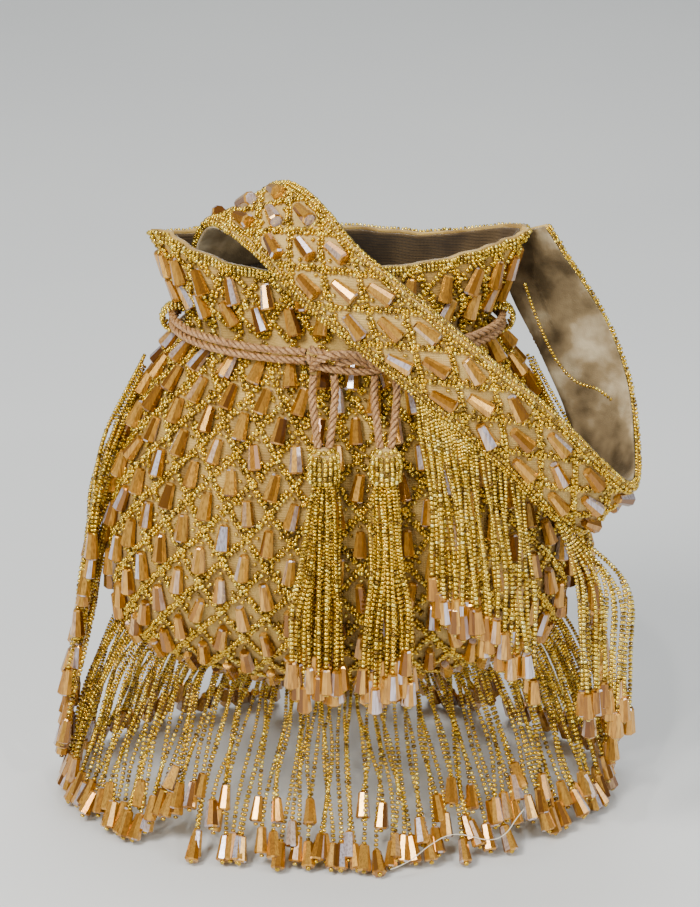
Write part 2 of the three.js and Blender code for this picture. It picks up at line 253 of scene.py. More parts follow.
@dataclass
class Batch:
    """Copies of one bead that make up one piece."""

    template: Template
    places: list[Array] = field(default_factory=list)
    axes: list[Array] = field(default_factory=list)
    sizes: list[Array] = field(default_factory=list)

    def add(self, places: Array, axes: Array, lengths: Array, radii: Array) -> None:
        """Adds beads.

        Args:
            places: (n, 3) middles.
            axes: (n, 3) directions of their holes.
            lengths: (n,) lengths.
            radii: (n,) radii.
        """
        self.places.append(np.asarray(places, dtype=float).reshape(-1, 3))
        self.axes.append(np.asarray(axes, dtype=float).reshape(-1, 3))
        count = len(self.places[-1])
        sizes = np.stack([np.broadcast_to(radii, count), np.broadcast_to(lengths, count)], axis=1)
        self.sizes.append(sizes.astype(float))

    @property
    def count(self) -> int:
        """Number of beads."""
        return sum(len(p) for p in self.places)

    def build(self, name: str, finish: bpy.types.Material, smooth: bool, rng: np.random.Generator):
        """Makes the piece.

        Args:
            name: the piece's name.
            finish: its material.
            smooth: whether the beads are shaded smooth.
            rng: the random source for each bead's turn and tone.

        Returns:
            The object.
        """
        places = np.concatenate(self.places)
        axes = unit(np.concatenate(self.axes))
        sizes = np.concatenate(self.sizes)
        count = len(places)
        helper = np.where(np.abs(axes[:, 2:3]) > 0.9, [[1.0, 0.0, 0.0]], [[0.0, 0.0, 1.0]])
        side = unit(np.cross(helper, axes))
        other = np.cross(axes, side)
        turn = rng.uniform(0, 2 * math.pi, count)[:, None]
        u = side * np.cos(turn) + other * np.sin(turn)
        v = np.cross(axes, u)
        shape = self.template.points
        co = (
            places[:, None, :]
            + u[:, None, :] * (shape[None, :, 0:1] * sizes[:, None, 0:1])
            + v[:, None, :] * (shape[None, :, 1:2] * sizes[:, None, 0:1])
            + axes[:, None, :] * (shape[None, :, 2:3] * sizes[:, None, 1:2])
        ).reshape(-1, 3)
        faces = self.template.faces
        corners = np.concatenate([np.array(f) for f in faces])
        lengths = np.array([len(f) for f in faces])
        shift = (np.arange(count) * len(shape))[:, None]
        all_corners = (corners[None, :] + shift).ravel()
        all_lengths = np.tile(lengths, count)
        mesh = bpy.data.meshes.new(name)
        mesh.vertices.add(len(co))
        mesh.vertices.foreach_set("co", co.astype(np.float32).ravel())
        mesh.loops.add(len(all_corners))
        mesh.loops.foreach_set("vertex_index", all_corners.astype(np.int32))
        mesh.polygons.add(len(all_lengths))
        starts = np.concatenate([[0], np.cumsum(all_lengths)[:-1]])
        mesh.polygons.foreach_set("loop_start", starts.astype(np.int32))
        mesh.polygons.foreach_set("use_smooth", np.full(len(all_lengths), smooth))
        mesh.update(calc_edges=True)
        mesh.materials.append(finish)
        self._write(mesh, "tone", "POINT", np.repeat(rng.uniform(0, 1, count), len(shape)))
        self._write(mesh, "along", "POINT", np.tile(shape[:, 2], count))
        facet = rng.uniform(0, 1, (count, len(faces)))
        self._write(mesh, "facet", "FACE", facet.ravel())
        obj = bpy.data.objects.new(name, mesh)
        bpy.context.scene.collection.objects.link(obj)
        LOG.info("%s: %d beads, %d faces", name, count, len(all_lengths))
        return obj

    @staticmethod
    def _write(mesh: bpy.types.Mesh, name: str, domain: str, values: Array) -> None:
        """Stores one number for each vertex or face."""
        layer = mesh.attributes.new(name, "FLOAT", domain)
        layer.data.foreach_set("value", np.asarray(values, dtype=np.float32))


# ---- shader helpers -------------------------------------------------------------------------------


class NodeMaker:
    """Adds nodes to a shader node tree."""

    def __init__(self, tree: bpy.types.NodeTree) -> None:
        """Keeps the tree."""
        self.tree = tree

    def new(self, kind: str, **values: object) -> bpy.types.Node:
        """Adds a node and sets its properties."""
        node = self.tree.nodes.new(kind)
        for key, value in values.items():
            setattr(node, key, value)
        return node

    def link(self, source: bpy.types.NodeSocket, target: bpy.types.NodeSocket) -> None:
        """Joins two sockets."""
        self.tree.links.new(source, target)

    def feed(self, socket: bpy.types.NodeSocket, value: object) -> None:
        """Gives an input a link, a number or a colour."""
        if isinstance(value, bpy.types.NodeSocket):
            self.link(value, socket)
        elif isinstance(value, (int, float)):
            socket.default_value = value
        else:
            socket.default_value = (*value, 1.0)

    def attribute(self, name: str) -> bpy.types.NodeSocket:
        """Gives a stored number of the mesh."""
        return self.new("ShaderNodeAttribute", attribute_name=name).outputs["Fac"]

    def position(self) -> bpy.types.NodeSocket:
        """Gives the object coordinates."""
        return self.new("ShaderNodeTexCoord").outputs["Object"]

    def scaled(self, vector: bpy.types.NodeSocket, scale: Sequence[float]) -> bpy.types.NodeSocket:
        """Scales a vector."""
        node = self.new("ShaderNodeMapping")
        node.inputs["Scale"].default_value = scale
        self.link(vector, node.inputs["Vector"])
        return node.outputs["Vector"]

    def noise(self, vector: bpy.types.NodeSocket, scale: object, detail: float = 2.0) -> bpy.types.NodeSocket:
        """Gives a noise value."""
        node = self.new("ShaderNodeTexNoise")
        self.feed(node.inputs["Scale"], scale)
        node.inputs["Detail"].default_value = detail
        self.link(vector, node.inputs["Vector"])
        return node.outputs["Fac"]

    def ramp(self, value: bpy.types.NodeSocket, stops: Sequence[tuple[float, Sequence[float]]]):
        """Turns a value into a colour."""
        node = self.new("ShaderNodeValToRGB")
        elements = node.color_ramp.elements
        while len(elements) < len(stops):
            elements.new(0.5)
        for element, (place, colour) in zip(elements, stops):
            element.position = place
            element.color = (*colour, 1.0)
        self.link(value, node.inputs["Fac"])
        return node.outputs["Color"]

    def maths(self, operation: str, a: object, b: object = 0.0) -> bpy.types.NodeSocket:
        """Combines two values."""
        node = self.new("ShaderNodeMath", operation=operation)
        for socket, value in zip(node.inputs, (a, b)):
            self.feed(socket, value)
        return node.outputs["Value"]

    def mix(self, factor: object, a: object, b: object) -> bpy.types.NodeSocket:
        """Mixes two colours."""
        node = self.new("ShaderNodeMix", data_type="RGBA")
        for socket, value in ((node.inputs[0], factor), (node.inputs[6], a), (node.inputs[7], b)):
            self.feed(socket, value)
        return node.outputs[2]

    def effect(self, name: str, **values: object) -> bpy.types.Node:
        """Adds a shared effect.

        Args:
            name: the effect's name in EFFECTS.
            values: its inputs, with underscores for spaces.

        Returns:
            The group node.
        """
        group = self.new("ShaderNodeGroup", node_tree=shared_effect(name))
        for key, value in values.items():
            self.feed(group.inputs[key.replace("_", " ")], value)
        return group


def fill_mottle(n: NodeMaker, start: bpy.types.Node, end: bpy.types.Node) -> None:
    """Slow patches between two colours."""
    patches = n.noise(start.outputs["Vector"], start.outputs["Scale"], 4.0)
    spread = n.maths("MULTIPLY", n.maths("SUBTRACT", patches, 0.3), 2.5)
    factor = n.maths("MAXIMUM", n.maths("MINIMUM", spread, 1.0), 0.0)
    n.link(n.mix(factor, start.outputs["Shade"], start.outputs["Light"]), end.inputs["Colour"])
    n.link(patches, end.inputs["Value"])


def fill_weave(n: NodeMaker, start: bpy.types.Node, end: bpy.types.Node) -> None:
    """The height of crossing threads."""
    heights = []
    for axis in ("X", "Y", "Z"):
        wave = n.new("ShaderNodeTexWave", bands_direction=axis)
        wave.inputs["Distortion"].default_value = 1.2
        wave.inputs["Detail"].default_value = 1.0
        n.link(start.outputs["Scale"], wave.inputs["Scale"])
        n.link(start.outputs["Vector"], wave.inputs["Vector"])
        heights.append(wave.outputs["Fac"])
    n.link(n.maths("MULTIPLY", n.maths("ADD", heights[0], heights[1]), heights[2]), end.inputs["Height"])


def fill_bead_end_shade(n: NodeMaker, start: bpy.types.Node, end: bpy.types.Node) -> None:
    """A mask of the painted shade at the ends of a bead, where its hole is and the next bead meets it."""
    from_middle = n.maths("ABSOLUTE", start.outputs["Along"])
    rising = n.maths("MULTIPLY", n.maths("SUBTRACT", from_middle, 0.3), 4.0)
    n.link(n.maths("MAXIMUM", n.maths("MINIMUM", rising, 1.0), 0.0), end.inputs["Mask"])


VALUE, COLOUR, VECTOR = "NodeSocketFloat", "NodeSocketColor", "NodeSocketVector"
EFFECTS: dict = {
    "mottle": (
        {"Vector": VECTOR, "Scale": VALUE, "Light": COLOUR, "Shade": COLOUR},
        {"Colour": COLOUR, "Value": VALUE},
        fill_mottle,
    ),
    "weave": ({"Vector": VECTOR, "Scale": VALUE}, {"Height": VALUE}, fill_weave),
    "bead_end_shade": ({"Along": VALUE}, {"Mask": VALUE}, fill_bead_end_shade),
}


def shared_effect(name: str) -> bpy.types.NodeTree:
    """Gives the shader node group of an effect, made the first time it is asked for."""
    if name in bpy.data.node_groups:
        return bpy.data.node_groups[name]
    inputs, outputs, fill = EFFECTS[name]
    tree = bpy.data.node_groups.new(name, "ShaderNodeTree")
    for label, kind in inputs.items():
        tree.interface.new_socket(name=label, in_out="INPUT", socket_type=kind)
    for label, kind in outputs.items():
        tree.interface.new_socket(name=label, in_out="OUTPUT", socket_type=kind)
    maker = NodeMaker(tree)
    fill(maker, maker.new("NodeGroupInput"), maker.new("NodeGroupOutput"))
    return tree


class Nodes(NodeMaker):
    """Builds the node tree of one material."""

    def __init__(self, name: str) -> None:
        """Starts a material with one Principled shader."""
        self.material = bpy.data.materials.new(name)
        self.material.use_nodes = True
        super().__init__(self.material.node_tree)
        self.tree.nodes.clear()
        self.output = self.new("ShaderNodeOutputMaterial")
        self.shader = self.new("ShaderNodeBsdfPrincipled")
        self.link(self.shader.outputs["BSDF"], self.output.inputs["Surface"])

    def constants(self, **values: object) -> None:
        """Sets plain values on the shader, with underscores for spaces."""
        for key, value in values.items():
            self.shader.inputs[key.replace("_", " ")].default_value = value

    def bump(self, height: bpy.types.NodeSocket, strength: float, distance: float) -> None:
        """Feeds a height into the shader's normal."""
        node = self.new("ShaderNodeBump")
        node.inputs["Strength"].default_value = strength
        node.inputs["Distance"].default_value = distance
        self.link(height, node.inputs["Height"])
        self.link(node.outputs["Normal"], self.shader.inputs["Normal"])

    def colour(self, colour: bpy.types.NodeSocket) -> None:
        """Feeds the base colour."""
        self.link(colour, self.shader.inputs["Base Color"])

    def roughness(self, value: bpy.types.NodeSocket) -> None:
        """Feeds the roughness."""
        self.link(value, self.shader.inputs["Roughness"])


@dataclass(frozen=True)
class SeedFinish:
    """Silver-lined gold glass seeds."""

    name: str = "seed_gold"
    dark: tuple = (0.20, 0.105, 0.003)
    middle: tuple = (0.80, 0.50, 0.018)
    bright: tuple = (1.0, 0.82, 0.16)
    end_shadow: tuple = (0.07, 0.033, 0.002)
    metallic: float = 0.82
    roughness: float = 0.15

    def make(self) -> bpy.types.Material:
        """Makes the material."""
        n = Nodes(self.name)
        tone = n.attribute("tone")
        base = n.ramp(tone, [(0.0, self.dark), (0.45, self.middle), (0.8, self.middle), (1.0, self.bright)])
        ends = n.effect("bead_end_shade", Along=n.attribute("along")).outputs["Mask"]
        # the ends of each bead are mixed towards end_shadow: painted shade where the beads meet
        n.colour(n.mix(n.maths("MULTIPLY", ends, 0.75), base, self.end_shadow))
        n.constants(Metallic=self.metallic, Coat_Weight=0.5, Coat_Roughness=0.05, Specular_IOR_Level=0.6)
        n.roughness(n.maths("ADD", n.maths("MULTIPLY", tone, 0.16), self.roughness - 0.06))
        return n.material


@dataclass(frozen=True)
class CrystalFinish:
    """Tapered amber crystals: a few lilac facets are partly the plating's own tint, partly a painted glint, and noise
    streaks paint dark refraction.
    """

    name: str = "crystal_amber"
    deep: tuple = (0.10, 0.026, 0.001)
    amber: tuple = (0.46, 0.19, 0.012)
    peach: tuple = (0.76, 0.40, 0.065)
    lilac_glint: tuple = (0.72, 0.68, 0.76)

    def make(self) -> bpy.types.Material:
        """Makes the material."""
        n = Nodes(self.name)
        facet = n.attribute("facet")
        tone = n.attribute("tone")
        # the rare lilac facets are partly the plating's own tint, partly a painted glint
        stops = [(0.0, self.deep), (0.25, self.amber), (0.6, self.peach), (0.86, self.peach), (0.93, self.lilac_glint)]
        base = n.ramp(facet, stops)
        # noise streaks along the crystal darken it towards deep amber: painted shade for the dark refractions seen
        # through the glass
        refraction_streaks = n.noise(n.scaled(n.position(), (1100, 1100, 90)), 1.0, 3.0)
        shade = n.maths("MULTIPLY", n.maths("SUBTRACT", refraction_streaks, 0.42), 2.2)
        dark = n.maths("MAXIMUM", n.maths("MINIMUM", shade, 0.75), 0.0)
        refraction_shaded = n.mix(dark, base, self.deep)
        warm = n.mix(n.maths("MULTIPLY", tone, 0.3), refraction_shaded, self.amber)
        n.colour(warm)
        n.constants(Metallic=0.5, Coat_Weight=0.5, Coat_Roughness=0.02, Specular_IOR_Level=0.5)
        n.roughness(n.maths("ADD", n.maths("MULTIPLY", facet, 0.12), 0.07))
        return n.material


@dataclass(frozen=True)
class ClothFinish:
    """A woven cloth with slow changes of colour."""

    name: str
    light: tuple
    shade: tuple
    thread: float = 0.0006
    roughness: float = 0.75
    sheen: float = 0.25

    def make(self) -> bpy.types.Material:
        """Makes the material."""
        n = Nodes(self.name)
        place = n.position()
        mottle = n.effect("mottle", Vector=place, Scale=60.0, Light=self.light, Shade=self.shade)
        n.colour(mottle.outputs["Colour"])
        weave = n.effect("weave", Vector=place, Scale=1.0 / (self.thread * 6.2832))
        n.bump(weave.outputs["Height"], 0.35, 0.0004)
        n.constants(Sheen_Weight=self.sheen, Sheen_Roughness=0.4)
        n.roughness(n.maths("ADD", n.maths("MULTIPLY", mottle.outputs["Value"], 0.15), self.roughness - 0.1))
        return n.material


@dataclass(frozen=True)
class VelvetFinish:
    """Crushed taupe velvet: the pile lies in patches that catch the light differently."""

    name: str = "velvet_taupe"
    dark: tuple = (0.075, 0.05, 0.022)
    middle: tuple = (0.23, 0.165, 0.085)
    light: tuple = (0.50, 0.41, 0.26)

    def make(self) -> bpy.types.Material:
        """Makes the material."""
        n = Nodes(self.name)
        place = n.position()
        patches = n.noise(place, 48.0, 3.0)
        n.colour(n.ramp(patches, [(0.34, self.dark), (0.52, self.middle), (0.68, self.light)]))
        pile = n.noise(place, 1500.0, 2.0)
        n.bump(n.maths("ADD", n.maths("MULTIPLY", patches, 3.0), pile), 0.4, 0.0005)
        n.constants(Sheen_Weight=0.35, Sheen_Roughness=0.3, Specular_IOR_Level=0.25)
        n.roughness(n.maths("ADD", n.maths("MULTIPLY", patches, -0.3), 0.95))
        return n.material


@dataclass(frozen=True)
class RopeFinish:
    """Copper satin threads wound into plies."""

    name: str = "rope_copper"
    dark: tuple = (0.13, 0.045, 0.010)
    middle: tuple = (0.44, 0.20, 0.062)
    light: tuple = (0.84, 0.51, 0.22)
    groove_shade: tuple = (0.035, 0.011, 0.004)

    def make(self) -> bpy.types.Material:
        """Makes the material."""
        n = Nodes(self.name)
        around = n.attribute("around")
        # the stripes round each thread run from dark to light: partly the threads' own stripes, partly painted satin
        # sheen
        threads = n.maths("SINE", n.maths("MULTIPLY", around, 2 * math.pi * 11))
        fray = n.noise(n.position(), 900.0, 3.0)
        mixed = n.maths("ADD", n.maths("MULTIPLY", threads, 0.22), fray)
        satin = n.ramp(mixed, [(0.15, self.dark), (0.5, self.middle), (0.85, self.light)])
        # where the plies turn in towards the rope's middle the colour goes dark: painted shade in the grooves between
        # plies
        groove_shade = n.maths("MULTIPLY", n.maths("SUBTRACT", 0.93, n.attribute("outer")), 2.3)
        n.colour(n.mix(n.maths("MAXIMUM", n.maths("MINIMUM", groove_shade, 1.0), 0.0), satin, self.groove_shade))
        n.bump(threads, 0.4, 0.0002)
        n.constants(Sheen_Weight=0.08, Sheen_Roughness=0.3, Specular_IOR_Level=0.6)
        n.roughness(n.maths("ADD", n.maths("MULTIPLY", fray, 0.2), 0.27))
        return n.material


@dataclass(frozen=True)
class PlainFinish:
    """A matt surface with a faint mottling."""

    name: str
    light: tuple
    shade: tuple
    roughness: float = 0.9
    scale: float = 6.0

    def make(self) -> bpy.types.Material:
        """Makes the material."""
        n = Nodes(self.name)
        mottle = n.effect("mottle", Vector=n.position(), Scale=self.scale, Light=self.light, Shade=self.shade)
        n.colour(mottle.outputs["Colour"])
        n.constants(Roughness=self.roughness)
        return n.material


class Finishes:
    """Every material, made once."""

    def __init__(self) -> None:
        """Makes the materials."""
        self.seed = SeedFinish().make()
        self.seed_pale = SeedFinish(
            name="seed_pale", middle=(0.90, 0.62, 0.05), bright=(1.0, 0.88, 0.28), metallic=0.75
        ).make()
        self.crystal = CrystalFinish().make()
        # the cream cloth is coloured dark gold: painted shade and gold reflection of the dense seeds around it
        self.cream = ClothFinish("cloth_cream_seed_shaded", (0.62, 0.41, 0.11), (0.20, 0.105, 0.014)).make()
        self.band_edge = ClothFinish("cloth_band", (0.70, 0.50, 0.17), (0.46, 0.29, 0.07)).make()
        self.lining = ClothFinish(
            "cloth_brown", (0.13, 0.08, 0.03), (0.05, 0.028, 0.01), thread=0.0009, roughness=0.9
        ).make()
        self.velvet = VelvetFinish().make()
        self.rope = RopeFinish().make()
        self.thread = ClothFinish("thread_cream", (0.85, 0.80, 0.66), (0.7, 0.62, 0.45)).make()


# ---- the pouch's surface --------------------------------------------------------------------------


@dataclass
class PouchForm:
    """The outside of the stuffed pouch and its ruffle, as rings from the bottom seam to the rim.

    The table repeats the rings of the CAD model, in millimetres: height, half width, half depth.
    """

    rings: tuple = (
        (76, 84, 1.5),
        (79, 96, 26),
        (90, 106, 50),
        (112, 112, 66),
        (140, 114, 74),
        (172, 110, 74),
        (206, 101, 66),
        (236, 88, 54),
        (254, 77, 45),
        (262, 73, 42),
        (271, 75, 38),
        (286, 82, 33),
        (300, 88, 27),
        (308, 92, 24),
    )
    neck_ring: float = 9.0
    seam_rise: float = 22.0
    seam_rise_rings: float = 5.0
    rim_dip: float = 14.0
    back_rim_drop: float = 8.0
    pleats: int = 26
    pleat_depth: float = 3.4
    valley_depth: float = 4.0

    def __post_init__(self) -> None:
        """Works out the run along the surface and round the widest ring."""
        self.table = np.array(self.rings, dtype=float)
        self.last = len(self.rings) - 1
        rows = np.linspace(0, self.last, 400)
        front = self.at(rows, np.full(400, -math.pi / 2), 0.0)
        side = self.at(rows, np.zeros(400), 0.0)
        steps = 0.5 * (
            np.linalg.norm(np.diff(front, axis=0), axis=1) + np.linalg.norm(np.diff(side, axis=0), axis=1)
        )
        self.row_run = np.concatenate([[0], np.cumsum(steps)])
        self.rows = rows
        turns = np.linspace(-math.pi / 2, 1.5 * math.pi, 721)
        around = self.at(np.full(721, 4.5), turns, 0.0)
        arcs = np.linalg.norm(np.diff(around, axis=0), axis=1)
        self.turn_run = np.concatenate([[0], np.cumsum(arcs)])
        self.turns = turns

    @property
    def height_run(self) -> float:
        """Length of the surface from the seam to the rim, in metres."""
        return float(self.row_run[-1])

    def row_at(self, run: Array) -> Array:
        """Gives the row at a distance from the seam."""
        return np.interp(run, self.row_run, self.rows)

    def turn_at(self, share: Array) -> Array:
        """Gives the angle at a share of the way round, from the front middle."""
        share = np.asarray(share, dtype=float)
        whole = np.floor(share)
        return np.interp((share - whole) * self.turn_run[-1], self.turn_run, self.turns)

    def at(self, row: Array, turn: Array, inset: float = 0.0) -> Array:
        """Gives points of the surface.

        Args:
            row: positions counted in rings.
            turn: angles; -pi/2 is the front.
            inset: how far inside the surface, in millimetres.

        Returns:
            (n, 3) points in metres.
        """
        row = np.asarray(row, dtype=float)
        turn = np.asarray(turn, dtype=float)
        ring = catmull(self.table, row / self.last)
        x, y = np.cos(turn), np.sin(turn)
        front = np.maximum(0, -y)
        above = np.clip((row - self.neck_ring) / (self.last - self.neck_ring), 0, 1)
        near_neck = np.exp(-(((row - self.neck_ring) / 1.6) ** 2))
        gather = near_neck + 0.45 * above + 0.25 * np.exp(-(((row - 6.8) / 1.4) ** 2))
        wave = np.cos(turn * self.pleats) + 0.5 * np.cos(turn * (self.pleats * 0.5) + 1.3)
        pleat = self.pleat_depth * gather * (wave - 1.0) * 0.5
        valley = self.valley_depth * front**2 * np.exp(-((x / 0.16) ** 2)) * np.exp(-(((row - 6.5) / 2.6) ** 2))
        slump = 1.6 * np.sin(3 * turn + 0.7) * np.exp(-(((row - 3.5) / 2.5) ** 2))
        ruffle = above * 3.0 * np.sin(5 * turn + 0.4)
        push = pleat - valley + slump + ruffle - inset
        width = np.maximum(ring[:, 1] + push, 0.4)
        depth = np.maximum(ring[:, 2] + np.minimum(push, ring[:, 2] * 0.3 + 0.2), 0.4)
        rise = self.seam_rise * np.clip(1 - row / self.seam_rise_rings, 0, None) ** 2
        dip = above * (self.rim_dip * front**3 + self.back_rim_drop * np.maximum(0, y) - 2.0 * np.sin(4 * turn))
        return np.stack([width * x, depth * y, ring[:, 0] + rise * x**2 - dip], axis=-1) * MM

    def normal(self, row: Array, turn: Array) -> Array:
        """Gives the outward directions of the surface."""
        row = np.clip(np.asarray(row, dtype=float), 0.05, self.last - 0.05)
        up = self.at(row + 0.05, turn) - self.at(row - 0.05, turn)
        across = self.at(row, turn + 0.01) - self.at(row, turn - 0.01)
        return unit(np.cross(across, up))


def log_piece(obj: bpy.types.Object) -> None:
    """Reports one finished piece."""
    LOG.info("%s: %d vertices", obj.name, len(obj.data.vertices))


def settle(obj: bpy.types.Object, body: Body, slot: Slot, *nodes: str) -> None:
    """Hands a finished piece to the frame.

    Args:
        obj: the piece.
        body: the CAD body it moves with.
        slot: the record's slot of its finish; not used.
        nodes: the CAD nodes it stands for.
    """
    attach(obj, body.value)
    if nodes:
        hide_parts(*nodes)
    log_piece(obj)


# ---- swept shapes ---------------------------------------------------------------------------------


def mesh_from_rings(name: str, rings: Array, finish: bpy.types.Material, wrap: bool = True):
    """Builds a closed body from rings of points, with its two ends filled.

    Args:
        name: the piece's name.
        rings: (rings, sides, 3) points.
        finish: its material.
        wrap: whether the last point of each ring joins the first.

    Returns:
        The object.
    """
    count, sides, _ = rings.shape
    faces = []
    for r in range(count - 1):
        low, high = r * sides, (r + 1) * sides
        for k in range(sides if wrap else sides - 1):
            following = (k + 1) % sides
            faces.append((low + k, low + following, high + following, high + k))
    if wrap:
        faces.append(tuple(reversed(range(sides))))
        faces.append(tuple(range((count - 1) * sides, count * sides)))
    mesh = bpy.data.meshes.new(name)
    mesh.from_pydata(rings.reshape(-1, 3).tolist(), [], faces)
    mesh.materials.append(finish)
    mesh.update()
    obj = bpy.data.objects.new(name, mesh)
    bpy.context.scene.collection.objects.link(obj)
    recalculate_normals(obj)
    shade_smooth(obj)
    return obj


def join(name: str, objects: Sequence[bpy.types.Object]) -> bpy.types.Object:
    """Joins objects into one piece."""
    deselect_all()
    for obj in objects:
        obj.select_set(True)
    bpy.context.view_layer.objects.active = objects[0]
    if len(objects) > 1:
        bpy.ops.object.join()
    joined = bpy.context.view_layer.objects.active
    joined.name = name
    joined.data.name = name
    return joined


def frames_along(path: Array) -> tuple[Array, Array, Array]:
    """Gives the directions of travel of a polyline and two directions square to it, without twist."""
    tangent = unit(np.gradient(path, axis=0))
    side = np.zeros_like(tangent)
    seed = np.array([0.0, 0.0, 1.0]) if abs(tangent[0][2]) < 0.9 else np.array([1.0, 0.0, 0.0])
    side[0] = unit(seed - tangent[0] * seed.dot(tangent[0]))
    for i in range(1, len(path)):
        carried = side[i - 1] - tangent[i] * side[i - 1].dot(tangent[i])
        side[i] = unit(carried)
    return tangent, side, np.cross(tangent, side)


@dataclass
class Rope:
    """A twisted rope of three satin plies."""

    diameter: float = 4.0 * MM
    pitch: float = 11.0 * MM
    ply_sides: int = 7
    step: float = 0.9 * MM

    def make(self, name: str, points: Array, finish: bpy.types.Material, twist: float = 0.0):
        """Makes the rope along given points.

        Args:
            name: the piece's name.
            points: (n, 3) points of the middle line, in metres.
            finish: its material.
            twist: where the twist starts, in turns.

        Returns:
            (object, middle line): the middle line as a dense polyline.
        """
        dense = smooth_path(points, 40 * len(points))
        length = path_length(dense)
        count = max(8, int(length / self.step))
        middle = walk(dense, np.linspace(0, length, count))
        _, u, v = frames_along(middle)
        run = np.linspace(0, length, count)
        ply_radius = self.diameter * 0.245
        helix = self.diameter * 0.265
        parts = []
        for ply in range(3):
            angle = 2 * math.pi * (run / self.pitch + ply / 3 + twist)
            spot = middle + helix * (u * np.cos(angle)[:, None] + v * np.sin(angle)[:, None])
            _, pu, pv = frames_along(spot)
            turn = np.linspace(0, 2 * math.pi, self.ply_sides, endpoint=False)
            ring = (
                spot[:, None, :]
                + ply_radius * pu[:, None, :] * np.cos(turn)[None, :, None]
                + ply_radius * pv[:, None, :] * np.sin(turn)[None, :, None]
            )
            part = mesh_from_rings(f"{name}_ply", ring, finish)
            outer = np.linalg.norm(ring - middle[:, None, :], axis=2) / (self.diameter / 2)
            around = turn[None, :] / (2 * math.pi) - (run / (self.pitch * 0.8))[:, None]
            for label, values in (("around", around), ("outer", outer)):
                layer = part.data.attributes.new(label, "FLOAT", "POINT")
                layer.data.foreach_set("value", values.astype(np.float32).ravel())
            parts.append(part)
        rope = join(name, parts)
        return rope, middle


# ---- beads ----------------------------------------------------------------------------------------


class BeadShop:
    """Models each bead once and strings copies of it."""

    seed_radius = 1.0 * MM
    seed_length = 1.75 * MM
    crystal_length = 13.5 * MM
    crystal_radius = 3.7 * MM

    def __init__(self, finishes: Finishes) -> None:
        """Models the seed and the crystal."""
        self.finishes = finishes
        self.rng = np.random.default_rng(SEED)
        seed = barrel("seed", 5, 0.26)
        self.seed = Template.of(seed)
        crystal = extruded_rings("crystal", 8, [(-0.5, 0.80), (-0.44, 1.0), (0.44, 0.66), (0.5, 0.50)])
        self.crystal = Template.of(crystal)

    def seeds(self) -> Batch:
        """Starts a piece of seed beads."""
        return Batch(self.seed)

    def crystals(self) -> Batch:
        """Starts a piece of crystals."""
        return Batch(self.crystal)

    def line(self, batch: Batch, path: Array, pitch: float, radius: float, loose: float = 0.0) -> None:
        """Threads seeds along a polyline.

        Args:
            batch: where the seeds go.
            path: the polyline.
            pitch: room for each seed, in metres.
            radius: the seeds' radius.
            loose: how far a seed may sit off the line.
        """
        length = path_length(path)
        count = max(1, int(round(length / pitch)))
        runs = (np.arange(count) + 0.5) * length / count
        places = walk(path, runs)
        ahead = walk(path, np.minimum(runs + 0.3 * pitch, length))
        behind = walk(path, np.maximum(runs - 0.3 * pitch, 0))
        lean = self.rng.normal(0, 0.07, (count, 3))
        spread = self.rng.normal(0, 1, (count, 3)) * loose
        radii = radius * self.rng.uniform(0.93, 1.07, count)
        batch.add(places + spread, unit(ahead - behind) + lean, length / count * 0.93, radii)

    def strand(self, seeds: Batch, crystals: Batch, path: Array) -> None:
        """Threads one hanging string: small seeds above, longer ones below, a crystal and an end seed.

        Args:
            seeds: where the seeds go.
            crystals: where the crystal goes.
            path: the polyline from the top of the string to the bottom of its end seed.
        """
        length = path_length(path)
        end_seed = 1.8 * MM
        tail = self.crystal_length + end_seed
        small_part = min(0.42 * length, 44 * MM)
        upper = walk(path, np.linspace(0, small_part, 24))
        lower = walk(path, np.linspace(small_part, length - tail, 30))
        self.line(seeds, upper, 1.75 * MM, 1.02 * MM)
        self.line(seeds, lower, 2.3 * MM, 1.22 * MM)
        ends = walk(path, np.array([length - tail, length - end_seed, length]))
        middle = 0.5 * (ends[0] + ends[1])
        size = self.rng.uniform(0.94, 1.06)
        crystals.add(middle, ends[0] - ends[1], self.crystal_length * size, self.crystal_radius * size)
        seeds.add(0.5 * (ends[1] + ends[2]), ends[1] - ends[2], end_seed, 1.25 * MM)

    def finish(self, seeds: Batch, crystals: Batch, name: str, pale: bool = False):
        """Builds the two pieces of a group of strings."""
        gold = self.finishes.seed_pale if pale else self.finishes.seed
        seed_piece = seeds.build(f"{name}_seeds", gold, True, self.rng)
        crystal_piece = crystals.build(f"{name}_crystals", self.finishes.crystal, False, self.rng)
        return seed_piece, crystal_piece


# ---- pouch ----------------------------------------------------------------------------------------


@dataclass
class PouchCloth:
    """The sewn body: the stuffed pouch and the open ruffle, one piece of cloth."""

    form: PouchForm
    finishes: Finishes
    segments: int = 208
    outer_rows: int = 56
    cloth_inset: float = 0.3
    wall: float = 2.2

    def make(self) -> bpy.types.Object:
        """Makes the cloth."""
        last = self.form.last
        outer = [(row, self.cloth_inset) for row in np.linspace(0.0, last, self.outer_rows)]
        rim = [(last, self.cloth_inset + self.wall)]
        inner = [(row, self.cloth_inset + self.wall) for row in np.linspace(last - 0.3, 10.2, 10)]
        obj = ring_shell("pouch_cloth", self.segments, self.form, outer + rim + inner, 269.0 * MM)
        obj.data.materials.append(self.finishes.cream)
        shade_smooth(obj)
        return obj


@dataclass
class MouthLining:
    """The brown cloth inside the ruffle, gathered together at the neck."""

    form: PouchForm
    finishes: Finishes
    segments: int = 156
    outer_inset: float = 3.0
    inner_inset: float = 4.0

    def make(self) -> bpy.types.Object:
        """Makes the lining as a thin bowl."""
        rows = np.linspace(10.4, self.form.last - 0.25, 10)
        outer = [(row, self.outer_inset) for row in rows]
        inner = [(row, self.inner_inset) for row in rows[::-1]]
        obj = ring_shell(
            "mouth_lining_cloth", self.segments, self.form, outer + inner, 271.5 * MM, bottom=270.4 * MM
        )
        obj.data.materials.append(self.finishes.lining)
        shade_smooth(obj)
        return obj


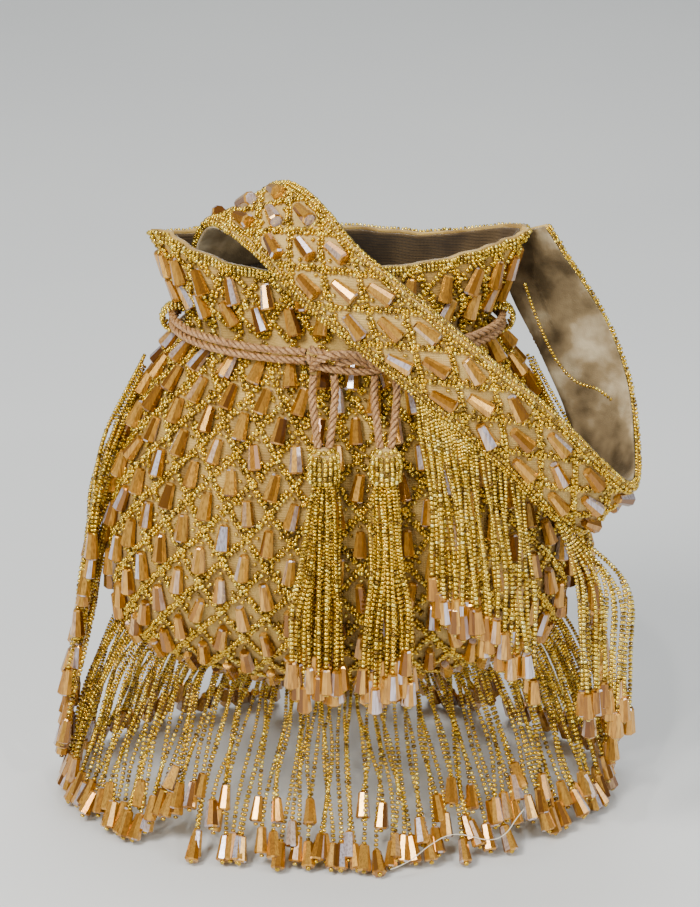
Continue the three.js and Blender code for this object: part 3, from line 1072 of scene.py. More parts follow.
def ring_shell(
    name: str,
    segments: int,
    form: PouchForm,
    rows: Sequence[tuple[float, float]],
    top: float,
    bottom: Optional[float] = None,
) -> bpy.types.Object:
    """Shapes a sphere's rings into rows of the pouch's surface.

    Args:
        name: the object's name.
        segments: points in each ring.
        form: the surface.
        rows: (row, inset) of each ring, from the bottom pole to the top pole.
        top: height of the last pole.
        bottom: height of the first pole, or None for the seam's.

    Returns:
        The closed object.
    """
    deselect_all()
    ring_count = len(rows) + 1
    bpy.ops.mesh.primitive_uv_sphere_add(segments=segments, ring_count=ring_count, radius=1.0)
    obj = bpy.context.object
    obj.name = name
    obj.data.name = name
    obj.data.materials.clear()
    start = points_of(obj)
    level = np.rint(np.arccos(np.clip(-start[:, 2], -1, 1)) / math.pi * ring_count).astype(int)
    turn = np.arctan2(start[:, 1], start[:, 0])
    step = 2 * math.pi / segments
    turn = np.rint(turn / step) * step
    places = np.zeros_like(start)
    for i, (row, inset) in enumerate(rows):
        here = level == i + 1
        places[here] = form.at(np.full(here.sum(), row), turn[here], inset)
    seam_height = form.rings[0][0] * MM
    places[level == 0] = (0, 0, seam_height if bottom is None else bottom)
    places[level == ring_count] = (0, 0, top)
    move_points(obj, places)
    recalculate_normals(obj)
    return obj


@dataclass
class PouchNet:
    """The diamond net of seeds over the cloth, with a crystal in each diamond."""

    form: PouchForm
    shop: BeadShop
    cells_round: int = 26
    cell_height: float = 27.4 * MM
    neck_gap: float = 5.5 * MM
    strands: tuple = ((-1.3, 0.9), (1.3, 1.1))
    cluster: int = 4

    def spot(self, share: Array, run: Array, out: float) -> Array:
        """Gives points off the surface at a share of the way round and a run up from the seam."""
        row = self.form.row_at(run)
        turn = self.form.turn_at(share)
        return self.form.at(row, turn, 0.0) + self.form.normal(row, turn) * out

    def make(self) -> list[bpy.types.Object]:
        """Makes the net in four quarters, front and back, left and right."""
        quarters = {}
        half = self.cell_height / 2
        top = self.form.height_run
        neck = float(np.interp(self.form.neck_ring, self.form.rows, self.form.row_run))
        levels = int(top / half)
        rng = self.shop.rng
        for level in range(1, levels):
            run = level * half
            for column in range(self.cells_round):
                share = (column + 0.5 * (level % 2)) / self.cells_round
                key = self.quarter(share)
                if key not in quarters:
                    quarters[key] = (self.shop.seeds(), self.shop.crystals())
                seeds, crystals = quarters[key]
                self.add_sides(seeds, share, run, half, min(run + half, top - 2 * MM), neck)
                if abs(run - neck) > self.neck_gap:
                    self.add_crystal(seeds, crystals, share, run, rng, top, neck)
        pieces = []
        for key, (seeds, crystals) in sorted(quarters.items()):
            pieces += self.shop.finish(seeds, crystals, f"net_{key}")
        return pieces

    def quarter(self, share: float) -> str:
        """Names the quarter of the pouch that a share of the way round is in."""
        whole = share % 1.0
        side = "right" if whole < 0.5 else "left"
        face = "front" if whole < 0.25 or whole >= 0.75 else "back"
        return f"{face}_{side}"

    def add_sides(self, seeds: Batch, share: float, run: float, half: float, end: float, neck: float) -> None:
        """Adds the two upper sides of one diamond."""
        reach = 0.5 / self.cells_round
        t = np.linspace(0, 1, 12)
        for sign in (-1, 1):
            for shift, out in self.strands:
                shares = share + sign * reach * (1 - t)
                runs = run + shift * MM + (end - run) * t
                clear = (np.abs(runs - neck) > 0.45 * self.neck_gap) & (runs < self.form.height_run)
                if clear.sum() > 2:
                    path = self.spot(shares[clear], runs[clear], out * MM)
                    self.shop.line(seeds, path, 2.22 * MM, 1.15 * MM, loose=0.28 * MM)

    def add_crystal(
        self,
        seeds: Batch,
        crystals: Batch,
        share: float,
        run: float,
        rng: np.random.Generator,
        top: float,
        neck: float,
    ) -> None:
        """Adds one crystal, the seed above it and the seeds below it."""
        length = self.shop.crystal_length
        lean = rng.normal(0, 0.0016)
        low = self.spot(np.array([share + lean]), np.array([run - 0.52 * length]), 3.4 * MM)[0]
        high = self.spot(np.array([share - lean]), np.array([min(run + 0.42 * length, top)]), 2.3 * MM)[0]
        axis = high - low
        size = rng.uniform(0.95, 1.05)
        crystals.add(0.5 * (low + high), axis, length * size, self.shop.crystal_radius * size)
        above = self.spot(np.array([share]), np.array([min(run + 0.58 * length, top)]), 1.6 * MM)[0]
        seeds.add(above, axis, self.shop.seed_length, self.shop.seed_radius * 1.05)
        foot = max(run - 0.60 * length, 0.0)
        for shift, out in ((-0.0052, 1.6), (0.0052, 1.6), (0.0, 2.4)):
            below = self.spot(np.array([share + shift]), np.array([foot]), out * MM)[0]
            self.add_seed(seeds, below, axis, rng)
        reach = 0.5 / self.cells_round
        for _ in range(self.cluster):
            aside = share + rng.choice((-1, 1)) * reach * rng.uniform(0.34, 0.62)
            height = run + rng.uniform(-0.30, 0.22) * self.cell_height
            height = float(np.clip(height, 0.0, top - 1 * MM))
            if abs(height - neck) > 0.6 * self.neck_gap:
                self.add_seed(seeds, self.spot(np.array([aside]), np.array([height]), 0.9 * MM)[0], axis, rng)

    def add_seed(self, seeds: Batch, place: Array, axis: Array, rng: np.random.Generator) -> None:
        """Adds one seed that leans its own way."""
        lean = axis / np.linalg.norm(axis) + rng.normal(0, 0.55, 3)
        seeds.add(place, lean, self.shop.seed_length, self.shop.seed_radius * rng.uniform(1.0, 1.2))


@dataclass
class RimTrim:
    """The lines of seeds along the rim of the ruffle."""

    form: PouchForm
    shop: BeadShop
    lines: tuple = (0.8, 2.9, 5.0)

    def make(self) -> bpy.types.Object:
        """Makes the trim."""
        seeds = self.shop.seeds()
        shares = np.linspace(0, 1, 361)
        for below in self.lines:
            row = self.form.row_at(np.full(361, self.form.height_run - below * MM))
            turn = self.form.turn_at(shares)
            turn[-1] = turn[0] + 2 * math.pi
            path = self.form.at(row, turn) + self.form.normal(row, turn) * 0.9 * MM
            self.shop.line(seeds, path, 1.9 * MM, 1.0 * MM, loose=0.12 * MM)
        return seeds.build("rim_trim", self.shop.finishes.seed_pale, True, self.shop.rng)


# ---- hanging strings ------------------------------------------------------------------------------


@dataclass
class Sway:
    """The gentle S-curve of a hanging string."""

    side: float = 2.2 * MM
    out: float = 1.2 * MM
    waves: float = 1.1

    def bend(self, path: Array, rng: np.random.Generator) -> Array:
        """Bends a path sideways and outwards, more towards its lower end."""
        share = np.linspace(0, 1, len(path))
        travel = unit(np.gradient(path, axis=0))
        flat = np.array([travel[:, 1].mean(), -travel[:, 0].mean(), 0.0])
        if np.linalg.norm(flat) < 0.15:
            flat = np.array([1.0, 0.0, 0.0])
        sideways = unit(flat)
        outwards = unit(np.cross(travel.mean(axis=0), sideways))
        phases = rng.uniform(0, 2 * math.pi, 2)
        envelope = np.minimum(share * 3.0, 1.0)
        waves = self.waves * rng.uniform(0.7, 1.3)
        first = np.sin(2 * math.pi * waves * share + phases[0]) - math.sin(phases[0])
        second = np.sin(2 * math.pi * waves * share + phases[1]) - math.sin(phases[1])
        bend = first * envelope * self.side * rng.uniform(0.4, 1.2)
        lift = second * envelope * self.out
        return path + bend[:, None] * sideways + lift[:, None] * outwards


def keep_off_ground(path: Array) -> Array:
    """Lifts a path so that its seeds and its crystal lie on the ground."""
    share = np.linspace(0, 1, len(path))
    lowest = (1.1 + 2.4 * np.clip((share - 0.8) / 0.1, 0, 1)) * MM
    lifted = path.copy()
    lifted[:, 2] = np.maximum(path[:, 2], lowest)
    return lifted


@dataclass
class BottomFringe:
    """The strings sewn along the bottom seam, half of them to the front and half to the back."""

    form: PouchForm
    shop: BeadShop
    strings: int = 68
    seam_reach: float = 80.0
    span: float = math.radians(54)
    foot_width: float = 140.0
    foot_depth: float = 95.0
    start_depth: float = 6.0
    shares: tuple = (0, 0.28, 0.6, 0.84, 0.94, 1)
    heights: tuple = (1, 0.83, 0.5, 0.17, 0.03, 0.0)

    def route(self, share: float, side: int, reach: float) -> Array:
        """Gives the way of one string.

        Args:
            share: place along the seam, from -1 to 1.
            side: -1 for the front, 1 for the back.
            reach: how much of the way to the ground ring the string goes.

        Returns:
            (n, 3) points in metres.
        """
        angle = share * self.span
        seam = self.form.rings[0][0] + self.form.seam_rise * (self.seam_reach * share / 84) ** 2
        start = np.array([self.seam_reach * share, side * self.start_depth, seam - 3.0])
        foot = np.array([self.foot_width * math.sin(angle), side * self.foot_depth * math.cos(angle), 0.0])
        flat = start + np.outer(self.shares, (foot - start) * [1, 1, 0])
        flat[:, 2] = start[2] * np.array(self.heights)
        dense = smooth_path(flat * MM, 80)
        return walk(dense, np.linspace(0, path_length(dense) * reach, 70))

    def make(self, side: int) -> tuple[bpy.types.Object, bpy.types.Object]:
        """Makes the strings of one face."""
        seeds, crystals = self.shop.seeds(), self.shop.crystals()
        sway = Sway()
        rng = self.shop.rng
        for i in range(self.strings):
            share = -1 + 2 * (i + 0.5) / self.strings + rng.normal(0, 0.006)
            reach = 1.0 - 0.28 * rng.uniform(0, 1) ** 1.6
            route = self.route(share, side, reach)
            outward = np.array([0.0, side * (1.0 + 2.0 * (i % 2)) * MM, (1.5 - 1.5 * (i % 2)) * MM])
            path = sway.bend(route + outward * np.linspace(0, 1, len(route))[:, None], rng)
            self.shop.strand(seeds, crystals, keep_off_ground(path))
        return self.shop.finish(seeds, crystals, "front_fringe" if side < 0 else "back_fringe")


@dataclass
class SideFringe:
    """The strings sewn down one side seam, from the neck to the bottom."""

    shop: BeadShop
    draped_strings: int = 46
    splayed_strings: int = 34
    upper: tuple = ((93.5, 244), (106.5, 216), (115.5, 190), (120.5, 165), (123, 136))
    middle: tuple = ((119.5, 128), (125, 102), (131, 72), (137, 42), (142, 14))
    ring_start: float = math.radians(52)
    ring_end: float = math.radians(90)
    ring_width: float = 143.0
    ring_depth: float = 95.0
    widest: float = 147.5 * MM

    def draped(self, side: int, share: float, hand: int) -> Array:
        """Gives the way of a string that lies down the side of the pouch.

        Args:
            side: -1 for the left, 1 for the right.
            share: how far down the side seam it starts, 0 at the neck.
            hand: -1 to lie towards the front, 1 towards the back.

        Returns:
            (n, 3) points in metres.
        """
        rng = self.shop.rng
        profile = np.array(self.upper, dtype=float) * (1 - share) + np.array(self.middle, dtype=float) * share
        spread = hand * rng.uniform(1, 14 + 8 * share)
        start = hand * 1.5
        down = np.linspace(0, 1, len(profile))
        shift = rng.uniform(-1, 2.0)
        return np.stack([side * (profile[:, 0] + shift), start + (spread - start) * down, profile[:, 1]], 1)

    def splayed(self, side: int, share: float, hand: int) -> Array:
        """Gives the way of a string from the lower side seam out to the ground ring."""
        angle = self.ring_start + (self.ring_end - self.ring_start) * share
        start = np.array([86 + 22 * share, hand * 4.5, 79 + 29 * share])
        foot = np.array([self.ring_width * math.sin(angle), hand * self.ring_depth * math.cos(angle), 0.0])
        reach = self.shop.rng.uniform(0.74, 1.0) ** 0.5
        shares = np.array((0, 0.3, 0.62, 0.86, 1))
        heights = np.array((1, 0.80, 0.44, 0.13, 0.0))
        points = start + np.outer(shares, (foot - start) * [1, 1, 0])
        points[:, 2] = start[2] * heights
        dense = smooth_path(points * [side, 1, 1], 60)
        return walk(dense, np.linspace(0, path_length(dense) * reach, 50))

    def make(self, side: int) -> tuple[bpy.types.Object, bpy.types.Object]:
        """Makes the strings of one side: -1 for the left, 1 for the right."""
        seeds, crystals = self.shop.seeds(), self.shop.crystals()
        sway = Sway(side=2.6 * MM)
        routes = []
        for i in range(self.draped_strings):
            routes.append(self.draped(side, (i + 0.5) / self.draped_strings, 1 if i % 2 else -1))
        for i in range(self.splayed_strings):
            routes.append(self.splayed(side, (i + 0.5) / self.splayed_strings, 1 if i % 2 else -1))
        for points in routes:
            path = sway.bend(smooth_path(points * MM, 60), self.shop.rng)
            path[:, 0] = np.clip(path[:, 0], -self.widest, self.widest)
            self.shop.strand(seeds, crystals, keep_off_ground(path))
        return self.shop.finish(seeds, crystals, "left_side_fringe" if side < 0 else "right_side_fringe")


# ---- strap ----------------------------------------------------------------------------------------


@dataclass
class StrapForm:
    """The middle of the strap and the way it faces.

    The table repeats the stations of the CAD model, in millimetres: place, then the direction across.
    """

    stations: tuple = (
        (-52, 8, 285, 0.92, 0.34, 0.05),
        (-50, 5, 304, 0.9, 0.36, 0.12),
        (-42, -6, 321, 0.78, 0.5, 0.36),
        (-24, -36, 323, 0.62, 0.4, 0.66),
        (-2, -63, 309, 0.53, 0.1, 0.84),
        (20, -72, 293, 0.52, -0.02, 0.85),
        (42, -78, 276, 0.52, -0.06, 0.85),
        (66, -80, 255, 0.52, -0.08, 0.85),
        (92, -77, 230, 0.52, -0.1, 0.85),
        (113, -69, 204, 0.53, -0.15, 0.83),
        (128, -55, 186, 0.56, -0.3, 0.78),
        (133, -35, 185, 0.62, -0.4, 0.68),
        (132, -14, 199, 0.68, -0.35, 0.64),
        (127, 3, 221, 0.74, -0.28, 0.6),
        (116, 12, 246, 0.86, -0.24, 0.45),
        (104, 15, 268, 0.86, -0.35, 0.32),
        (95, 16, 285, 0.8, -0.5, 0.2),
        (88, 18, 299, 0.76, -0.6, 0.1),
    )
    width: float = 38.0
    face_thickness: float = 2.6
    lining_thickness: float = 1.2
    gap: float = 0.7

    def __post_init__(self) -> None:
        """Samples the middle line."""
        table = catmull(np.array(self.stations, dtype=float), np.linspace(0, 1, 500))
        self.centres = table[:, :3] * MM
        self.tangents = unit(np.gradient(self.centres, axis=0))
        across = table[:, 3:]
        across = across - self.tangents * (across * self.tangents).sum(axis=1, keepdims=True)
        self.across = unit(across)
        self.outward = np.cross(self.tangents, self.across)
        steps = np.linalg.norm(np.diff(self.centres, axis=0), axis=1)
        self.run = np.concatenate([[0], np.cumsum(steps)])

    @property
    def length(self) -> float:
        """Length of the middle line, in metres."""
        return float(self.run[-1])

    def pick(self, table: Array, run: Array) -> Array:
        """Reads a table at distances along the strap."""
        return np.stack([np.interp(run, self.run, table[:, k]) for k in range(3)], axis=-1)

    def spot(self, run: Array, sideways: Array, lift: Array) -> Array:
        """Gives points of the strap: distances along and across in metres, lift towards the beads."""
        run, sideways, lift = np.broadcast_arrays(run, sideways, lift)
        centre = self.pick(self.centres, run)
        across = self.pick(self.across, run) * sideways[..., None]
        return centre + across + self.pick(self.outward, run) * lift[..., None]

    @property
    def face_lift(self) -> float:
        """How far the outside of the face is from the middle line, in metres."""
        return (self.face_thickness + self.gap / 2) * MM

    def swept(self, name: str, section: Array, rows: int, finish: bpy.types.Material, ripple: float):
        """Sweeps a closed section along the strap.

        Args:
            name: the piece's name.
            section: (n, 2) sideways and lift, in metres.
            rows: number of rings.
            finish: its material.
            ripple: depth of soft dents, in metres.

        Returns:
            The object.
        """
        runs = np.linspace(0, self.length, rows)
        side = section[:, 0][None, :]
        lift = section[:, 1][None, :]
        dents = np.sin(runs / 0.0105)[:, None] * np.sin(side / 0.0052 + runs[:, None] / 0.017)
        rings = self.spot(runs[:, None], side, lift + ripple * dents)
        return mesh_from_rings(name, rings, finish)


def rounded_section(width: float, low: float, high: float, steps: int) -> Array:
    """Gives the outline of a flat band with rounded edges.

    Args:
        width: full width.
        low: lift of its lower face.
        high: lift of its upper face.
        steps: points along each face.

    Returns:
        (n, 2) points.
    """
    radius = (high - low) / 2
    middle = (high + low) / 2
    across = np.linspace(-width / 2 + radius, width / 2 - radius, steps)
    arc = np.linspace(-math.pi / 2, math.pi / 2, 5)[1:-1]
    lower = np.stack([across, np.full(steps, low)], axis=1)
    right = np.stack([across[-1] + radius * np.cos(arc), middle + radius * np.sin(arc)], axis=1)
    upper = np.stack([across[::-1], np.full(steps, high)], axis=1)
    left = np.stack([across[0] - radius * np.cos(arc), middle - radius * np.sin(arc)], axis=1)
    return np.concatenate([lower, right, upper, left])


@dataclass
class Strap:
    """The strap: a beaded face, a velvet lining and the strings under its lower edge."""

    form: StrapForm
    shop: BeadShop
    finishes: Finishes
    cell: float = 27.5 * MM
    column: float = 10.6 * MM
    net_edge: float = 15.2 * MM

    def face(self) -> bpy.types.Object:
        """Makes the cloth of the face."""
        low = self.form.gap / 2 * MM
        section = rounded_section(self.form.width * MM, low, self.form.face_lift - 0.4 * MM, 9)
        return self.form.swept("strap_band", section, 150, self.finishes.band_edge, 0.12 * MM)

    def lining(self) -> bpy.types.Object:
        """Makes the velvet lining."""
        high = -self.form.gap / 2 * MM
        low = high - self.form.lining_thickness * MM
        section = rounded_section((self.form.width + 0.6) * MM, low - 0.3 * MM, high, 15)
        return self.form.swept("strap_velvet", section, 220, self.finishes.velvet, 0.5 * MM)

    def beads(self) -> tuple[bpy.types.Object, bpy.types.Object]:
        """Makes the net, the crystals and the edge lines of the face."""
        seeds, crystals = self.shop.seeds(), self.shop.crystals()
        length = self.form.length
        lift = self.form.face_lift
        half = self.cell / 2
        count = int(length / half)
        for i in range(1, count):
            run = i * half
            columns = (0.0,) if i % 2 else (-self.column, self.column)
            for column in columns:
                self.crystal(seeds, crystals, run, column, lift)
                for ahead in (-1, 1):
                    for hand in (-1, 1):
                        self.side(seeds, run, column, ahead, hand, lift)
        runs = np.linspace(1 * MM, length - 1 * MM, 400)
        half_width = self.form.width / 2 * MM
        for inset, drop in ((4.0, -0.7), (1.9, -0.6), (0.0, 0.6), (0.4, 2.5)):
            for hand in (-1, 1):
                place = hand * (half_width - inset * MM + 0.3 * MM)
                path = self.form.spot(runs, place, lift - drop * MM)
                self.shop.line(seeds, path, 1.95 * MM, 1.0 * MM, loose=0.15 * MM)
        return self.shop.finish(seeds, crystals, "strap_beads")

    def crystal(self, seeds: Batch, crystals: Batch, run: float, column: float, lift: float) -> None:
        """Adds one crystal and the seeds at its foot."""
        size = self.shop.crystal_length
        rng = self.shop.rng
        turn = rng.normal(0, 1.1 * MM)
        if run < size or run > self.form.length - size:
            return
        back = self.form.spot(run - size / 2, column - turn, lift + 1.9 * MM)
        ahead = self.form.spot(run + size / 2, column + turn, lift + 2.9 * MM)
        crystals.add(0.5 * (back + ahead), back - ahead, size, self.shop.crystal_radius * rng.uniform(0.95, 1.05))
        feet = [(size * 0.6, shift) for shift in (-2.2, 0.4, 2.6)]
        loose = [(size * rng.uniform(-0.6, 0.5), rng.choice((-1, 1)) * rng.uniform(4.5, 6.5)) for _ in range(5)]
        for ahead_by, shift in feet + loose:
            foot = self.form.spot(run + ahead_by, column + shift * MM, lift + 0.8 * MM)
            lean = unit(back - ahead) + rng.normal(0, 0.5, 3)
            seeds.add(foot, lean, self.shop.seed_length, self.shop.seed_radius * 1.1)

    def side(self, seeds: Batch, run: float, column: float, ahead: int, hand: int, lift: float) -> None:
        """Adds a quarter of a diamond."""
        t = np.linspace(0, 0.5, 8)
        for shift in (-1.25 * MM, 1.25 * MM):
            runs = run + shift + ahead * self.cell / 2 * (1 - t)
            sides = column + hand * self.column * t
            keep = (np.abs(sides) < self.net_edge) & (runs > 0) & (runs < self.form.length)
            if keep.sum() > 2:
                path = self.form.spot(runs[keep], sides[keep], lift + 0.7 * MM)
                self.shop.line(seeds, path, 2.0 * MM, 1.06 * MM, loose=0.25 * MM)

    def fringe(self) -> tuple[bpy.types.Object, bpy.types.Object]:
        """Makes the strings under the strap's lower edge."""
        seeds, crystals = self.shop.seeds(), self.shop.crystals()
        rng = self.shop.rng
        edge_runs = np.linspace(0, self.form.length * 0.72, 700)
        edge = self.form.spot(edge_runs, -(self.form.width / 2) * MM, 0.8 * MM)
        for start, end, count, drift, lengths in (
            (37.0, 66.0, 20, 9.0, (104, 118)),
            (67.0, 90.0, 8, 7.5, (100, 116)),
            (113.0, 127.0, 7, 6.0, (96, 118)),
            (128.0, 138.5, 6, 5.0, (92, 116)),
        ):
            for i in range(count):
                x = (start + (end - start) * (i + 0.5) / count) * MM
                outside = np.where(edge_runs < self.form.length * 0.62, edge[:, 0], 9.0)
                top = edge[int(np.argmin(np.abs(outside - x)))]
                drop = rng.uniform(*lengths) * MM
                near_body = np.array([x + 0.35 * drift * MM, min(top[1], -0.081 + 0.3 * max(0, x - 0.09)), 0])
                points = np.array(
                    [
                        top,
                        [near_body[0], near_body[1] - 0.001, top[2] - 0.28 * drop],
                        [x + 0.8 * drift * MM, near_body[1] - 0.003, top[2] - 0.62 * drop],
                        [x + drift * MM, near_body[1] - 0.004, top[2] - drop],
                    ]
                )
                depth = rng.uniform(-2.5, 2.5) * MM
                points[1:, 1] += depth
                path = Sway(side=1.3 * MM, out=0.8 * MM).bend(smooth_path(points, 60), rng)
                path[:, 0] = np.minimum(path[:, 0], 0.1475)
                self.shop.strand(seeds, crystals, path)
        return self.shop.finish(seeds, crystals, "strap_fringe", pale=True)


# ---- drawstring and tassels -----------------------------------------------------------------------


@dataclass
class Drawstring:
    """The two ropes round the neck, the knot in front and the loops at the sides."""

    finishes: Finishes
    shop: BeadShop
    half_width: float = 73 + 7.7
    half_depth: float = 42 + 7.7
    height: float = 262.0
    spacing: float = 4.6
    start: float = math.radians(-100.8)
    end: float = math.radians(-427)
    turns: int = 30

    def neck_route(self, above: float) -> Array:
        """Gives the points of one rope round the neck, in metres."""
        angles = np.linspace(self.start, self.end, self.turns + 1)
        height = np.full(self.turns + 1, self.height + above * self.spacing)
        points = np.stack([self.half_width * np.cos(angles), self.half_depth * np.sin(angles), height], axis=1)
        return points * MM

    def ropes(self) -> list[bpy.types.Object]:
        """Makes the two neck ropes."""
        made = []
        for name, above, node in (("lower", -0.5, "drawstring_lower"), ("upper", 0.5, "drawstring_upper")):
            route = self.neck_route(above)
            rope, middle = Rope().make(f"neck_rope_{name}", route, self.finishes.rope, twist=above * 0.3)
            settle(rope, Body.BAG, Slot.ROPE, node)
            made.append(rope)
        return made

    def knot(self) -> bpy.types.Object:
        """Makes the knot where the ropes cross in front."""
        arches = (
            ((-12, -53, 257), (-10, -58.5, 264), (-2, -61.5, 268.5), (9, -61.5, 268), (18, -59.5, 263), (24, -54, 256)),
            ((-2, -53, 256), (1, -57.5, 262), (8, -59.0, 264), (16, -58.5, 262), (23, -57, 259), (28, -52, 255)),
            ((-14, -50, 262), (-9, -56, 260), (2, -57.5, 258.5), (14, -57.5, 258), (25, -55.5, 260), (30, -49, 263)),
            ((-13, -49, 266), (-6, -55, 266), (4, -56.5, 263.5), (15, -55.5, 265), (26, -53.5, 266), (31, -48, 265)),
        )
        parts = []
        for i, points in enumerate(arches):
            rope, _ = Rope().make(f"knot_{i}", np.array(points) * MM, self.finishes.rope, twist=i * 0.17)
            parts.append(rope)
        return join("drawstring_crossing", parts)

    def loop(self, side: int) -> bpy.types.Object:
        """Makes the bead-edged loop on one side of the neck."""
        middle_x = side * (73 + 3.8)
        turn = np.linspace(0, 2 * math.pi, 49)
        x = middle_x + side * 1.9 + side * 6.9 * np.cos(turn)
        z = self.height + 6.2 * np.sin(turn)
        seeds = self.shop.seeds()
        for depth, grow in ((-4.4, 0.0), (-2.3, 0.35), (0.0, 0.45), (2.3, 0.35), (4.4, 0.0)):
            scale = 1 + grow / 7
            ring = np.stack(
                [
                    middle_x + (x - middle_x) * scale,
                    np.full(49, depth),
                    self.height + (z - self.height) * scale,
                ],
                axis=1,
            )
            self.shop.line(seeds, ring * MM, 1.9 * MM, 1.05 * MM, loose=0.1 * MM)
        name = "left_loop" if side < 0 else "right_loop"
        return seeds.build(name, self.finishes.seed_pale, True, self.shop.rng)


@dataclass
class Tassel:
    """One tassel: two rope legs, a beaded head and a skirt of bead strings."""

    side: str
    head_x: float
    foot_x: float
    foot_radius: float
    shop: BeadShop
    finishes: Finishes
    strings: int = 26
    leg_spacing: float = 10.0
    pivot_y: float = -57.0
    top_z: float = 255.5
    head_z: float = 227.4
    head_radius: tuple = (6.8, 5.0)
    head_heights: tuple = (208.5, 226.0)
    head_y: float = -76.5
    skirt_y: float = -85.5
    skirt_bottom: float = 89.0

    @property
    def body(self) -> Body:
        """The body that the tassel moves with."""
        return Body.LEFT if self.side == "left" else Body.RIGHT

    def leg_route(self, hand: int) -> Array:
        """Gives the points of one leg, in metres."""
        drop = (256 - self.head_z) / 3
        middle = -6.5 if self.side == "left" else 23.0
        top_x = middle + hand * self.leg_spacing / 2
        return mm(
            (top_x, self.pivot_y, self.top_z),
            (top_x + hand * 0.4, -62.5, 256 - drop),
            (self.head_x + hand * 4.2, -69.0, 256 - 2 * drop),
            (self.head_x + hand * 2.6, self.head_y + 0.5, self.head_z - 1.5),
        ).reshape(-1, 3)

    def legs(self) -> None:
        """Makes the two legs."""
        for letter, hand in (("a", -1), ("b", 1)):
            name = f"{self.side}_leg_{letter}"
            rope, middle = Rope().make(name, self.leg_route(hand), self.finishes.rope, twist=hand * 0.2)
            settle(rope, self.body, Slot.ROPE, f"tassel_{self.side}_rope_{letter}")

    def head(self) -> None:
        """Makes the beaded head over its core."""
        low, high = self.head_heights
        radius_x, radius_y = self.head_radius
        inside = 1.2
        core = extruded_rings(
            f"{self.side}_head_core",
            20,
            [(low, radius_x - 2.2), (low + 2, radius_x - inside), (high - 3, radius_x - inside), (high, 3.0)],
        )
        places = points_of(core) * MM
        places[:, 1] *= radius_y / radius_x
        move_points(core, places + mm(self.head_x, self.head_y, 0))
        core.data.materials.append(self.finishes.band_edge)
        shade_smooth(core)
        settle(core, self.body, Slot.CLOTH, f"tassel_{self.side}_head")
        seeds = self.shop.seeds()
        rows = 7
        turn = np.linspace(0, 2 * math.pi, 61)
        for i in range(rows):
            share = i / (rows - 1)
            z = low + 1.4 + share * (high - low - 2.2)
            pinch = 1.0 - 0.5 * max(0.0, share - 0.8) / 0.2 * 0.7
            ring = np.stack(
                [
                    self.head_x + (radius_x * pinch) * np.cos(turn),
                    self.head_y + (radius_y * pinch + 0.4) * np.sin(turn),
                    np.full(61, z),
                ],
                axis=1,
            )
            self.shop.line(seeds, ring * MM, 2.5 * MM, 1.38 * MM, loose=0.15 * MM)
        beads = seeds.build(f"{self.side}_head_beads", self.finishes.seed_pale, True, self.shop.rng)
        settle(beads, self.body, Slot.BEADS)

    def skirt(self) -> None:
        """Makes the skirt's strings."""
        seeds, crystals = self.shop.seeds(), self.shop.crystals()
        rng = self.shop.rng
        low = self.head_heights[0]
        for i in range(self.strings):
            share = (i + 0.5) / self.strings
            across = 2 * ((i * 0.618034) % 1.0) - 1
            deep = 2 * share - 1
            top = mm(self.head_x + across * 4.6, self.head_y + deep * 3.4, low + 1.0)
            bottom = self.skirt_bottom + rng.uniform(0, 13) + (8 if i % 3 == 0 else 0)
            foot_x = self.foot_x + across * (self.foot_radius - 3.8)
            points = np.array(
                [
                    top,
                    mm(self.head_x + across * 6.4, self.head_y + deep * 4.4 - 4.0, low - 9),
                    mm(0.5 * (self.head_x + foot_x) + across * 2.0, self.skirt_y + deep * 4.2, low - 40),
                    mm(foot_x, self.skirt_y + deep * 4.8, 0.5 * (low + bottom) - 12),
                    mm(foot_x + across * 0.4, self.skirt_y + deep * 4.6, bottom),
                ]
            )
            path = Sway(side=1.1 * MM, out=0.5 * MM, waves=0.9).bend(smooth_path(points, 60), rng)
            self.shop.strand(seeds, crystals, path)
        pieces = self.shop.finish(seeds, crystals, f"{self.side}_skirt")
        settle(pieces[0], self.body, Slot.BEADS, f"tassel_{self.side}_skirt")
        settle(pieces[1], self.body, Slot.BEADS)

    def make(self) -> None:
        """Makes the whole tassel."""
        self.legs()
        self.head()
        self.skirt()


# ---- loose strings --------------------------------------------------------------------------------


